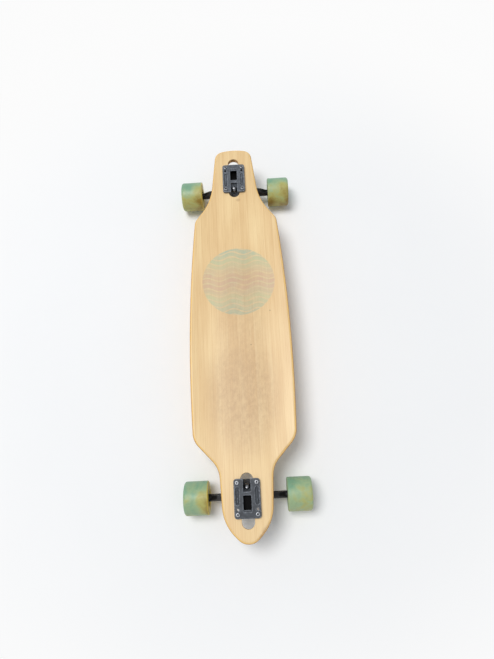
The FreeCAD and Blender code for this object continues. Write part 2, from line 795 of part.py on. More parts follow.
def build_hanger(label, heading):
    """The hanger: a ring on the kingpin, a web down to the axle beam, and the pivot nose."""
    body = new_body(label, steering_frame(heading))
    ring = new_sketch(body, "XY_Plane", "ring_outline")
    draw_circle(ring, "fit.ring_radius")
    pad(body, ring, "dim.ring_thickness", "ring", both_ways=True)
    neck = new_sketch(body, "XY_Plane", "neck_outline")
    draw_box(neck, "-dim.web_top_half_width", "dim.web_top_half_width", "-fit.web_back", "0")
    pad(body, neck, "dim.ring_thickness", "neck", both_ways=True)
    add_web(body)
    beam = new_sketch(body, "YZ_Plane", "beam_section")
    draw_circle(beam, "dim.hanger_end_diameter / 2", "fit.axle_along", "fit.axle_up")
    pad(body, beam, "fit.hanger_width", "beam", both_ways=True)
    add_haunches(body)
    add_nose(body)
    seats = new_sketch(body, "YZ_Plane", "ring_bore_half")
    past = "dim.ring_thickness"
    foot = "fit.bushing_foot"
    draw_outline(seats, [
        ("0", f"-{past}"), ("fit.seat_radius", f"-{past}"), ("fit.seat_radius", f"-{foot}"),
        ("dim.ring_bore / 2", f"-{foot}"), ("dim.ring_bore / 2", foot),
        ("fit.seat_radius", foot), ("fit.seat_radius", past), ("0", past),
    ])
    turn_out(body, seats, "V_Axis", "bushing_seats")
    bore = new_sketch(body, "YZ_Plane", "axle_bore")
    draw_circle(bore, "fit.axle_radius + dim.axle_fit", "fit.axle_along", "fit.axle_up")
    cut(body, bore, "fit.through", "axle_bore_cut", both_ways=True)
    keep(label, body)


def add_web(body):
    """The web between ring and beam, spreading out to the arms."""
    web = new_sketch(body, "XZ_Plane", "web_front", lift="fit.web_face")
    top = "dim.ring_thickness / 2"
    half = [
        ("dim.web_top_half_width", top),
        ("dim.web_shoulder_half_width", f"{top} - dim.web_shoulder_drop"),
        ("fit.arm_reach", "fit.axle_up + dim.arm_rise"),
        ("fit.arm_reach", "fit.axle_up"),
    ]
    draw_outline(web, half + [(f"-{x}", up) for x, up in reversed(half)])
    pad(body, web, "dim.web_thickness", "web")


def add_haunches(body):
    """The upright ribs that deepen the beam towards the middle, clear of the kingpin stack."""
    ribs = new_sketch(body, "XZ_Plane", "haunch_front")
    ribs.AttachmentOffset = Placement(Vector(), Rotation(Vector(-1, 0, 0), 1))
    ribs.setExpression("AttachmentOffset.Base.y", "fit.axle_up")
    ribs.setExpression("AttachmentOffset.Base.z", "-fit.axle_along")
    ribs.setExpression("AttachmentOffset.Rotation.Angle", "dim.kingpin_tilt")
    root = "dim.web_shoulder_half_width"
    half = [
        (root, "0"), (root, "dim.haunch_crest_rise"), ("fit.haunch_crest", "dim.haunch_crest_rise"),
        ("fit.haunch_knee", "dim.haunch_knee_rise"), ("fit.haunch_end", "dim.haunch_end_rise"),
        ("fit.haunch_end", "0"),
    ]
    for sign in ("", "-"):
        draw_outline(ribs, [(f"{sign}{x}", up) for x, up in half])
    pad(body, ribs, "dim.haunch_thickness", "haunches", both_ways=True)


def add_nose(body):
    """The pivot nose: a cone to a round-ended pin on the steering axis."""
    nose = new_sketch(body, "YZ_Plane", "nose_half")
    bend = "-(dim.nose_reach - dim.nose_radius)"
    draw_outline(nose, [
        ("-fit.web_face", "0"), ("-fit.web_face", "dim.nose_root_radius"),
        ("-fit.web_back", "dim.nose_root_radius"),
        ("-fit.cup_mouth + dim.pivot_clearance", "dim.nose_radius"), (bend, "dim.nose_radius"),
        ("-dim.nose_reach", "0"),
    ], {4: ("dim.nose_radius", 1)})
    turn(body, nose, "H_Axis", "nose")


def build_kingpin(label, heading):
    """The kingpin bolt, with its hexagon head in the notch."""
    body = new_body(label, steering_frame(heading))
    foot = "-(fit.seat_height + dim.kingpin_nut_height + dim.kingpin_tail)"
    shank = new_sketch(body, "XY_Plane", "shank_section", lift=foot)
    draw_circle(shank, "dim.kingpin_diameter / 2")
    pad(body, shank, f"fit.head_foot - {foot}", "shank")
    head = new_sketch(body, "XY_Plane", "head_section", lift="fit.head_foot")
    draw_hexagon(head, "dim.kingpin_hex_width")
    pad(body, head, "dim.kingpin_head_height", "head")
    keep(label, body)


def build_kingpin_nut(label, heading):
    """The lock nut at the road end of the kingpin."""
    body = new_body(label, steering_frame(heading))
    section = new_sketch(body, "XY_Plane", "nut_section", lift="-fit.seat_height")
    draw_hexagon(section, "dim.kingpin_hex_width")
    draw_circle(section, "dim.kingpin_diameter / 2 + dim.thread_clearance")
    pad(body, section, "dim.kingpin_nut_height", "nut", backwards=True)
    keep(label, body)


def build_bushing(label, heading, sign):
    """A urethane bushing, drawn in at the middle; sign is empty on the board's side."""
    body = new_body(label, steering_frame(heading))
    half = new_sketch(body, "YZ_Plane", "bushing_half")
    rim = "dim.bushing_diameter / 2"
    middle = "(fit.bushing_foot + fit.bushing_end) / 2"
    ends = [
        ("fit.kingpin_bore", "fit.bushing_foot"), (rim, "fit.bushing_foot"),
        (f"{rim} - dim.bushing_waist", middle),
        (rim, "fit.bushing_end"), ("fit.kingpin_bore", "fit.bushing_end"),
    ]
    draw_outline(half, [(x, f"{sign}({up})") for x, up in ends])
    turn(body, half, "V_Axis", "bushing")
    keep(label, body)


def build_cup_washers(label, heading):
    """The two cupped washers that hold the bushings' outer ends."""
    body = new_body(label, steering_frame(heading))
    half = new_sketch(body, "YZ_Plane", "washer_half")
    rim = "fit.bushing_end - dim.washer_rim_height"
    draw_outline(half, [
        ("fit.kingpin_bore", "fit.bushing_end"), ("fit.seat_radius", "fit.bushing_end"),
        ("fit.seat_radius", rim), ("fit.washer_radius", rim),
        ("fit.washer_radius", "fit.seat_height"), ("fit.kingpin_bore", "fit.seat_height"),
    ])
    washer = turn(body, half, "V_Axis", "washer")
    mirror(body, [washer], "XY_Plane", "washer_pair")
    keep(label, body)


def build_axle(label, heading):
    """The steel axle through the hanger's beam."""
    body = new_body(label, axle_frame(heading))
    section = new_sketch(body, "YZ_Plane", "axle_section")
    draw_circle(section, "fit.axle_radius")
    pad(body, section, "dim.axle_length", "axle", both_ways=True)
    keep(label, body)


def build_axle_nuts(label, heading):
    """The nuts on the ends of the axle."""
    body = new_body(label, axle_frame(heading))
    section = new_sketch(body, "YZ_Plane", "axle_nut_section", lift="fit.hub_x + fit.ring_end")
    draw_hexagon(section, "dim.axle_nut_width")
    draw_circle(section, "fit.axle_radius + dim.thread_clearance")
    nut = pad(body, section, "dim.axle_nut_height", "axle_nut")
    mirror(body, [nut], "YZ_Plane", "axle_nut_pair")
    keep(label, body)


def build_speed_rings(label, heading):
    """The thin washers on both sides of each wheel's bearings."""
    body = new_body(label, axle_frame(heading))
    halves = new_sketch(body, "XY_Plane", "speed_ring_halves")
    for near in ("fit.hub_x - fit.ring_end", "fit.hub_x + fit.bearing_far"):
        draw_box(halves, near, f"{near} + dim.speed_ring_thickness",
                 "fit.bore_radius", "fit.inner_shoulder - dim.speed_ring_step")
    rings = turn(body, halves, "H_Axis", "speed_rings")
    mirror(body, [rings], "YZ_Plane", "speed_ring_pairs")
    keep(label, body)


def repeat_at_bolts(body, name):
    """Copy the whole of a body from one bolt hole to all four."""
    pattern = body.newObject("PartDesign::LinearPattern", name)
    pattern.TransformMode = "Whole shape"
    pattern.Direction = (origin_feature(body, "X_Axis"), [""])
    pattern.Occurrences = 2
    pattern.setExpression("Length", "dim.bolt_spacing_x")
    pattern.Direction2 = (origin_feature(body, "Y_Axis"), [""])
    pattern.Occurrences2 = 2
    pattern.setExpression("Length2", "dim.bolt_spacing_y")
    body.Tip = pattern


def build_mounting_bolts(label, heading):
    """Four domed bolts with a cross recess, through flange and deck."""
    body = new_body(label, truck_frame(heading))
    x = "-dim.bolt_spacing_x / 2"
    y = "-dim.bolt_spacing_y / 2"
    foot = "-(dim.deck_thickness + dim.bolt_nut_height + dim.bolt_tail)"
    shank = new_sketch(body, "XY_Plane", "bolt_shank_section", lift=foot)
    draw_circle(shank, "dim.bolt_diameter / 2", x, y)
    pad(body, shank, f"dim.plate_thickness - {foot}", "bolt_shank")
    head = new_sketch(body, "XY_Plane", "bolt_head_section", lift="dim.plate_thickness")
    draw_circle(head, "dim.bolt_head_diameter / 2", x, y)
    head_pad = pad(body, head, "dim.bolt_head_height", "bolt_head")
    top = float(dim.plate_thickness) + float(dim.bolt_head_height)
    round_edges(body, head_pad, lambda edge: lies_at(edge, top), "dim.bolt_head_dome", "bolt_dome")
    cross = new_sketch(body, "XY_Plane", "bolt_recess", lift="dim.plate_thickness + dim.bolt_head_height")
    long_half = "dim.drive_length / 2"
    thin_half = "dim.drive_width / 2"
    reach = [(long_half, thin_half), (thin_half, thin_half), (thin_half, long_half)]
    quarter_turns = ((1, 1, False), (-1, 1, True), (-1, -1, False), (1, -1, True))
    corners = []
    for side_x, side_y, backwards in quarter_turns:
        for step_x, step_y in reversed(reach) if backwards else reach:
            corners.append((f"{x} + {side_x} * {step_x}", f"{y} + {side_y} * {step_y}"))
    draw_outline(cross, corners)
    cut(body, cross, "dim.drive_depth", "bolt_drive")
    doc.recompute()
    repeat_at_bolts(body, "bolt_pattern")
    keep(label, body)


def build_mounting_nuts(label, heading):
    """The four lock nuts under the deck."""
    body = new_body(label, truck_frame(heading))
    x = "-dim.bolt_spacing_x / 2"
    y = "-dim.bolt_spacing_y / 2"
    section = new_sketch(body, "XY_Plane", "bolt_nut_section", lift="-dim.deck_thickness")
    draw_hexagon(section, "dim.bolt_nut_width", x, y)
    draw_circle(section, "dim.bolt_diameter / 2 + dim.thread_clearance", x, y)
    pad(body, section, "dim.bolt_nut_height", "bolt_nut", backwards=True)
    doc.recompute()
    repeat_at_bolts(body, "bolt_nut_pattern")
    keep(label, body)


def build_truck(end, heading):
    """All pieces of one truck, apart from its wheels."""
    build_baseplate(f"{end}_baseplate", heading)
    build_pivot_cup(f"{end}_pivot_cup", heading)
    build_hanger(f"{end}_hanger", heading)
    build_kingpin(f"{end}_kingpin", heading)
    build_kingpin_nut(f"{end}_kingpin_nut", heading)
    build_bushing(f"{end}_boardside_bushing", heading, "")
    build_bushing(f"{end}_roadside_bushing", heading, "-")
    build_cup_washers(f"{end}_cup_washers", heading)
    build_axle(f"{end}_axle", heading)
    build_axle_nuts(f"{end}_axle_nuts", heading)
    build_speed_rings(f"{end}_speed_rings", heading)
    build_mounting_bolts(f"{end}_mounting_bolts", heading)
    build_mounting_nuts(f"{end}_mounting_nuts", heading)


# Wheels


def build_tyre(label, place):
    """The urethane tyre, with a deep dish on its outer side."""
    body = new_body(label, place)
    half = new_sketch(body, "XY_Plane", "tyre_half")
    radius = "dim.wheel_diameter / 2"
    outer = "dim.outer_lip_radius"
    inner = "dim.inner_lip_radius"
    draw_outline(half, [
        ("-fit.tyre_inner", "dim.inner_dish_radius"), ("-fit.core_half", "fit.core_radius"),
        ("fit.core_half", "fit.core_radius"), ("fit.tyre_outer", "dim.outer_dish_radius"),
        ("fit.tyre_outer", f"{radius} - {outer}"), (f"fit.tyre_outer - {outer}", radius),
        (f"-fit.tyre_inner + {inner}", radius), ("-fit.tyre_inner", f"{radius} - {inner}"),
    ], {4: (outer, 1), 6: (inner, 1)})
    turn(body, half, "H_Axis", "tyre")
    keep(label, body)


def build_core(label, place):
    """The hub that the tyre is cast on, with a seat for a bearing on each side."""
    body = new_body(label, place)
    half = new_sketch(body, "XY_Plane", "core_half")
    seat = "fit.race_radius + dim.bearing_fit"
    shoulder = "fit.race_radius - dim.core_shoulder"
    draw_outline(half, [
        ("-fit.core_half", seat), ("-fit.bearing_near", seat), ("-fit.bearing_near", shoulder),
        ("fit.bearing_near", shoulder), ("fit.bearing_near", seat), ("fit.core_half", seat),
        ("fit.core_half", "fit.core_radius"), ("-fit.core_half", "fit.core_radius"),
    ])
    turn(body, half, "H_Axis", "core")
    keep(label, body)


def build_outer_races(label, place):
    """The outer rings of both bearings, with the balls' groove and a step for each shield."""
    body = new_body(label, place)
    half = new_sketch(body, "XY_Plane", "outer_race_half")
    step = "dim.shield_seat"
    shoulder = "fit.outer_shoulder"
    draw_outline(half, [
        ("fit.bearing_near", "fit.shield_radius"), (f"fit.bearing_near + {step}", "fit.shield_radius"),
        (f"fit.bearing_near + {step}", shoulder), ("fit.bearing_middle - fit.groove_half", shoulder),
        ("fit.bearing_middle + fit.groove_half", shoulder), (f"fit.bearing_far - {step}", shoulder),
        (f"fit.bearing_far - {step}", "fit.shield_radius"), ("fit.bearing_far", "fit.shield_radius"),
        ("fit.bearing_far", "fit.race_radius"), ("fit.bearing_near", "fit.race_radius"),
    ], {3: ("fit.groove_radius", -1)})
    race = turn(body, half, "H_Axis", "outer_race")
    mirror(body, [race], "YZ_Plane", "outer_race_pair")
    keep(label, body)


def build_inner_races(label, place):
    """The inner rings of both bearings."""
    body = new_body(label, place)
    half = new_sketch(body, "XY_Plane", "inner_race_half")
    shoulder = "fit.inner_shoulder"
    draw_outline(half, [
        ("fit.bearing_near", "fit.bore_radius"), ("fit.bearing_far", "fit.bore_radius"),
        ("fit.bearing_far", shoulder), ("fit.bearing_middle + fit.groove_half", shoulder),
        ("fit.bearing_middle - fit.groove_half", shoulder), ("fit.bearing_near", shoulder),
    ], {3: ("fit.groove_radius", -1)})
    race = turn(body, half, "H_Axis", "inner_race")
    mirror(body, [race], "YZ_Plane", "inner_race_pair")
    keep(label, body)


def build_balls(label, place):
    """The balls of both bearings."""
    body = new_body(label, place)
    ball = body.newObject("PartDesign::AdditiveSphere", "ball")
    ball.AttachmentSupport = [(origin_feature(body, "XY_Plane"), "")]
    ball.MapMode = "FlatFace"
    ball.setExpression("Radius", "fit.ball_radius")
    ball.setExpression("AttachmentOffset.Base.x", "fit.bearing_middle")
    ball.setExpression("AttachmentOffset.Base.y", "fit.pitch_radius")
    doc.recompute()
    copies = body.newObject("PartDesign::MultiTransform", "ball_copies")
    around = body.newObject("PartDesign::PolarPattern", "balls_around")
    around.Axis = (origin_feature(body, "X_Axis"), [""])
    around.Angle = 360
    around.setExpression("Occurrences", "dim.ball_count")
    across = body.newObject("PartDesign::Mirrored", "balls_across")
    across.MirrorPlane = (origin_feature(body, "YZ_Plane"), [""])
    copies.Originals = [ball]
    copies.Transformations = [around, across]
    body.Tip = copies
    keep(label, body)


def build_shields(label, place):
    """The pressed shields on both faces of both bearings."""
    body = new_body(label, place)
    halves = new_sketch(body, "XY_Plane", "shield_halves")
    near = "fit.bearing_near + dim.shield_seat"
    far = "fit.bearing_far - dim.shield_seat"
    thickness = "dim.shield_thickness"
    for left, right in ((f"{near} - {thickness}", near), (far, f"{far} + {thickness}")):
        draw_box(halves, left, right, "fit.inner_shoulder + dim.shield_gap",
                 "fit.shield_radius - dim.bearing_fit")
    shields = turn(body, halves, "H_Axis", "shields")
    mirror(body, [shields], "YZ_Plane", "shield_pairs")
    keep(label, body)


def build_spacer(label, place):
    """The tube that keeps the inner rings apart."""
    body = new_body(label, place)
    half = new_sketch(body, "XY_Plane", "spacer_half")
    draw_box(half, "-fit.bearing_near", "fit.bearing_near", "fit.bore_radius",
             "fit.bore_radius + dim.spacer_wall")
    turn(body, half, "H_Axis", "spacer")
    keep(label, body)


def build_wheel(corner, heading, side):
    """One wheel with its bearings; side is 1 on the right and -1 on the left."""
    place = hub_frame(heading, side)
    build_tyre(f"{corner}_tyre", place)
    build_core(f"{corner}_core", place)
    build_outer_races(f"{corner}_outer_races", place)
    build_inner_races(f"{corner}_inner_races", place)
    build_balls(f"{corner}_balls", place)
    build_shields(f"{corner}_shields", place)
    build_spacer(f"{corner}_spacer", place)


def check_document():
    """Stop if any object failed or any sub-part has no sound shape."""
    for item in doc.Objects:
        if "Invalid" in item.State or "Error" in item.State:
            raise RuntimeError(f"{item.Label} failed: {item.State}")
    for label, piece in parts.items():
        if piece.Shape.isNull() or not piece.Shape.isValid() or not piece.Shape.Solids:
            raise RuntimeError(f"{label} has no sound shape")


def export_parts():
    """Write each sub-part to its own STEP file."""
    os.makedirs("parts", exist_ok=True)
    for label, piece in parts.items():
        piece.Shape.exportStep(f"parts/{label}.step")
        print(f"{label}: {len(piece.Shape.Solids)} solids, {piece.Shape.Volume:.1f} mm3")


build_deck()
for truck_end, truck_heading in (("front", 1), ("rear", -1)):
    build_truck(truck_end, truck_heading)
    for side_name, wheel_side in (("left", -1), ("right", 1)):
        build_wheel(f"{truck_end}_{side_name}", truck_heading, wheel_side)
doc.recompute()
check_document()
export_parts()
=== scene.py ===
"""Looks of a drop-through longboard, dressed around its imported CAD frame.

Metres throughout, in the CAD frame: +X right, +Y towards the nose, +Z up, floor at zero.
"""
from __future__ import annotations

import json
import logging
import math
from collections.abc import Iterable, Mapping, Sequence
from dataclasses import dataclass
from enum import Enum
from typing import Any, Generic, TypeVar

import bmesh
import bpy
import numpy as np
from mathutils import Euler, Matrix, Vector

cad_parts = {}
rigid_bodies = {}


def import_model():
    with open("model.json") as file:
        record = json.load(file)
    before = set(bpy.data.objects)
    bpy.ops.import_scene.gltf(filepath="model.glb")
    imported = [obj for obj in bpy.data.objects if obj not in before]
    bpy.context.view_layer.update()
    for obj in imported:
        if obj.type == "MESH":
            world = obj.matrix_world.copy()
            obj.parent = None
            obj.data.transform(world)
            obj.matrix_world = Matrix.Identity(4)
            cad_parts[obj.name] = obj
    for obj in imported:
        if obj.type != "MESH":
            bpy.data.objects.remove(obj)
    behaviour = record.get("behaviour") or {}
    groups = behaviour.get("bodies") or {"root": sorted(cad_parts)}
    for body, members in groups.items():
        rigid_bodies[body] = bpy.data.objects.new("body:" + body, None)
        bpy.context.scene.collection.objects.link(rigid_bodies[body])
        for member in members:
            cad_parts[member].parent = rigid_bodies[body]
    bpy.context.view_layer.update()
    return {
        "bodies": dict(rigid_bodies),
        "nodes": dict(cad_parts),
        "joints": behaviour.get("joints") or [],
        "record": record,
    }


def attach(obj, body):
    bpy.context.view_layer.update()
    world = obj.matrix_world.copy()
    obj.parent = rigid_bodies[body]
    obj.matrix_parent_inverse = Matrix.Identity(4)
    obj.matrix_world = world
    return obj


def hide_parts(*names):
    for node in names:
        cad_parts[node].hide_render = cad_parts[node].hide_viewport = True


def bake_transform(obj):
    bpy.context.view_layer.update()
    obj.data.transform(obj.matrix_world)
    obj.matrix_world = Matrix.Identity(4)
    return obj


LOG = logging.getLogger("longboard")
SHARP_ANGLE = math.radians(38)
MERGE_DISTANCE = 1e-6
FULL_TURN = 2 * math.pi
CORNER_SHARE = 1 / math.sqrt(3)

Colour = tuple[float, float, float]
Profile = list[tuple[float, float]]
Mesh = bpy.types.Mesh
Object = bpy.types.Object
Socket = bpy.types.NodeSocket


class Named(Enum):
    """A choice whose name is part of the nodes' names."""

    @property
    def prefix(self) -> str:
        """The name as the nodes have it."""
        return self.name.lower()


class End(Named):
    """The two ends of the board, with the way that each truck faces."""

    FRONT = 1
    REAR = -1


class Side(Named):
    """The two sides of a truck, with the sign of X there."""

    LEFT = -1
    RIGHT = 1


class Slot(Enum):
    """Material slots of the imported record."""

    VENEER = "veneer"
    CORE = "core"
    PLATE = "plate_cast"
    HANGER = "hanger_black"
    STEEL = "steel"
    BEARING = "bearing_steel"
    BUSHING = "bushing_urethane"
    TYRE = "tyre_urethane"
    HUB = "core_plastic"
    CUP = "cup_plastic"


@dataclass(frozen=True)
class DeckShape:
    """Sizes of the pressed deck that its finishes and fasteners follow."""

    thickness: float = 0.012
    veneer: float = 0.0016
    ply: float = 0.00147
    flat_half: float = 0.045
    concave: float = 0.420
    rim_start: float = 0.00010
    rim_full: float = 0.00042


@dataclass(frozen=True)
class TruckShape:
    """Sizes of a truck, shared by both ends; places along the kingpin start in the hanger's ring."""

    bolt_spacing_x: float = 0.0413
    bolt_spacing_y: float = 0.0635
    spare_spacing_y: float = 0.0538
    bolt_radius: float = 0.0024
    bolt_bevel: float = 0.0006
    bolt_tail: float = 0.0015
    bolt_run_in: float = 0.002
    bolt_turn: float = 0.7
    head_radius: float = 0.0045
    head_height: float = 0.0028
    head_round: float = 0.0016
    head_steps: int = 30
    head_middle: float = 0.00001
    drive_length: float = 0.005
    drive_width: float = 0.0015
    drive_depth: float = 0.0018
    drive_wall: float = 0.00012
    bolt_nut_width: float = 0.0095
    bolt_nut_height: float = 0.006
    bolt_nut_turn: float = 0.4
    kingpin_radius: float = 0.00475
    kingpin_bevel: float = 0.0007
    kingpin_tail: float = 0.002
    kingpin_run_in: float = 0.004
    kingpin_hex: float = 0.0143
    kingpin_head_foot: float = 0.0275
    kingpin_head_height: float = 0.0065
    kingpin_head_middle: float = 0.0003
    kingpin_head_edge: float = 0.0004
    kingpin_head_seat: float = 0.49
    kingpin_nut_foot: float = 0.019
    kingpin_nut_height: float = 0.009
    bushing_foot: float = 0.0025
    bushing_end: float = 0.0175
    bushing_radius: float = 0.012
    bushing_bore: float = 0.0049
    bushing_waist: float = 0.0012
    bushing_edge: float = 0.0007
    bushing_deck_grip: float = 0.001
    bushing_ring_grip: float = 0.0015
    bushing_steps: int = 22
    bushing_bore_steps: int = 10
    axle_radius: float = 0.00397
    axle_half: float = 0.123825
    axle_bevel: float = 0.0006
    axle_run_in: float = 0.002
    axle_nut_foot: float = 0.116
    axle_nut_width: float = 0.0127
    axle_nut_height: float = 0.007
    axle_points: int = 64
    bolt_points: int = 72
    clearance: float = 0.00002
    pitch: float = 0.0009
    pitch_steps: int = 6
    thread_depth: float = 0.0004

    @property
    def spare_y(self) -> float:
        """How far outboard of the truck's middle the spare bolt holes lie."""
        return self.spare_spacing_y - self.bolt_spacing_y / 2

    @property
    def kingpin_dome(self) -> Profile:
        """Drops below the top of the kingpin's head, with its radius there as a share of its width."""
        return [(0.0002, 0.16), (0.0008, 0.30), (0.0018, 0.42), (0.0028, 0.50), (0.0036, CORNER_SHARE)]


@dataclass(frozen=True)
class WheelShape:
    """Sizes of a wheel, measured from the middle of its bearings."""

    radius: float = 0.0365
    inner: float = 0.017
    outer: float = 0.037
    outer_lip: float = 0.006
    inner_lip: float = 0.0025
    outer_dish: float = 0.026
    inner_dish: float = 0.020
    outer_bead: float = 0.00112
    inner_bead: float = 0.0008
    core_radius: float = 0.017
    core_half: float = 0.013
    groove_at: float = 0.0285
    groove: float = 0.0005
    lip_steps: int = 8
    tread_points: int = 144


@dataclass(frozen=True)
class Places:
    """Main places of the board's front right corner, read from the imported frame."""

    truck_y: float
    deck_top: float
    plate_top: float
    ring_y: float
    ring_z: float
    tilt: float
    hub_x: float
    axle_y: float
    axle_z: float

    @classmethod
    def read(cls, frame: Mapping[str, Any], truck: TruckShape) -> Places:
        """Read the places from the record's joints and mounts.

        Args:
            frame: The loaded frame.
            truck: The trucks' sizes.

        Returns:
            The places.
        """
        joints = {joint["name"]: joint for joint in frame["joints"]}
        mounts = {mount["name"]: mount["pos_m"] for mount in frame["record"]["mounts"]}
        steer = joints["front_steer"]
        _, ring_y, ring_z = steer["pos_m"]
        _, lean_y, lean_z = steer["axis"]
        _, spare_y, plate_top = mounts["front_spare_bolts"]
        return cls(spare_y - truck.spare_y, mounts["rider_platform"][2], plate_top, ring_y, ring_z,
                   math.atan2(lean_y, lean_z), *joints["front_right_spin"]["pos_m"])

    @property
    def plate_thickness(self) -> float:
        """How far a baseplate's flange stands above the deck."""
        return self.plate_top - self.deck_top

    def truck_frame(self, end: End) -> Matrix:
        """A truck's own frame: on the deck's top face, +Y outboard."""
        turned = Matrix.Rotation(0 if end is End.FRONT else math.pi, 4, "Z")
        return Matrix.Translation((0, end.value * self.truck_y, self.deck_top)) @ turned

    def steering_frame(self, end: End) -> Matrix:
        """The frame in the middle of the hanger's ring, +Z up the kingpin."""
        offset = Matrix.Translation((0, self.ring_y - self.truck_y, self.ring_z - self.deck_top))
        return self.truck_frame(end) @ offset @ Matrix.Rotation(self.tilt, 4, "X")

    def axle_frame(self, end: End) -> Matrix:
        """The frame in the middle of the axle."""
        offset = Matrix.Translation((0, self.axle_y - self.truck_y, self.axle_z - self.deck_top))
        return self.truck_frame(end) @ offset

    def hub_frame(self, end: End, side: Side) -> Matrix:
        """The frame in the middle of a wheel's bearings, +Z away from the truck."""
        hub = Matrix.Translation((side.value * self.hub_x, end.value * self.axle_y, self.axle_z))
        return hub @ Matrix.Rotation(side.value * math.pi / 2, 4, "Y")


def tone(red: int, green: int, blue: int) -> Colour:
    """Turn a screen colour, from 0 to 255, into the linear one that shaders take."""
    shares = (channel / 255 for channel in (red, green, blue))
    return tuple(s / 12.92 if s <= 0.04045 else ((s + 0.055) / 1.055) ** 2.4 for s in shares)


@dataclass(frozen=True)
class Mark:
    """A colour laid over another, and how much of it shows at most."""

    colour: Colour
    strength: float = 1.0


@dataclass(frozen=True)
class Oval:
    """A soft oval in the plan view: its middle, and half its width and length."""

    x: float
    y: float
    half_width: float
    half_length: float


class Number:
    """A number that a node tree works out, and that plain operators take further."""

    def __init__(self, graph: Graph, socket: Socket) -> None:
        """Keep the number's socket and the graph that it lies in."""
        self.graph = graph
        self.socket = socket

    def __add__(self, other: Value) -> Number:
        """Add another number."""
        return self.graph.math("ADD", self, other)

    def __sub__(self, other: Value) -> Number:
        """Take another number away."""
        return self.graph.math("SUBTRACT", self, other)

    def __rsub__(self, other: Value) -> Number:
        """Take this number away from another."""
        return self.graph.math("SUBTRACT", other, self)

    def __mul__(self, other: Value) -> Number:
        """Multiply by another number."""
        return self.graph.math("MULTIPLY", self, other)

    def __truediv__(self, other: Value) -> Number:
        """Divide by another number."""
        return self.graph.math("DIVIDE", self, other)

    def __pow__(self, power: Value) -> Number:
        """Raise to a power."""
        return self.graph.math("POWER", self, power)

    def __abs__(self) -> Number:
        """Drop the sign."""
        return self.graph.math("ABSOLUTE", self)

    def __lt__(self, other: Value) -> Number:
        """1 where this is the lesser number, and otherwise 0."""
        return self.graph.math("LESS_THAN", self, other)

    def __gt__(self, other: Value) -> Number:
        """1 where this is the greater number, and otherwise 0."""
        return self.graph.math("GREATER_THAN", self, other)


Value = float | Sequence[float] | Socket | Number


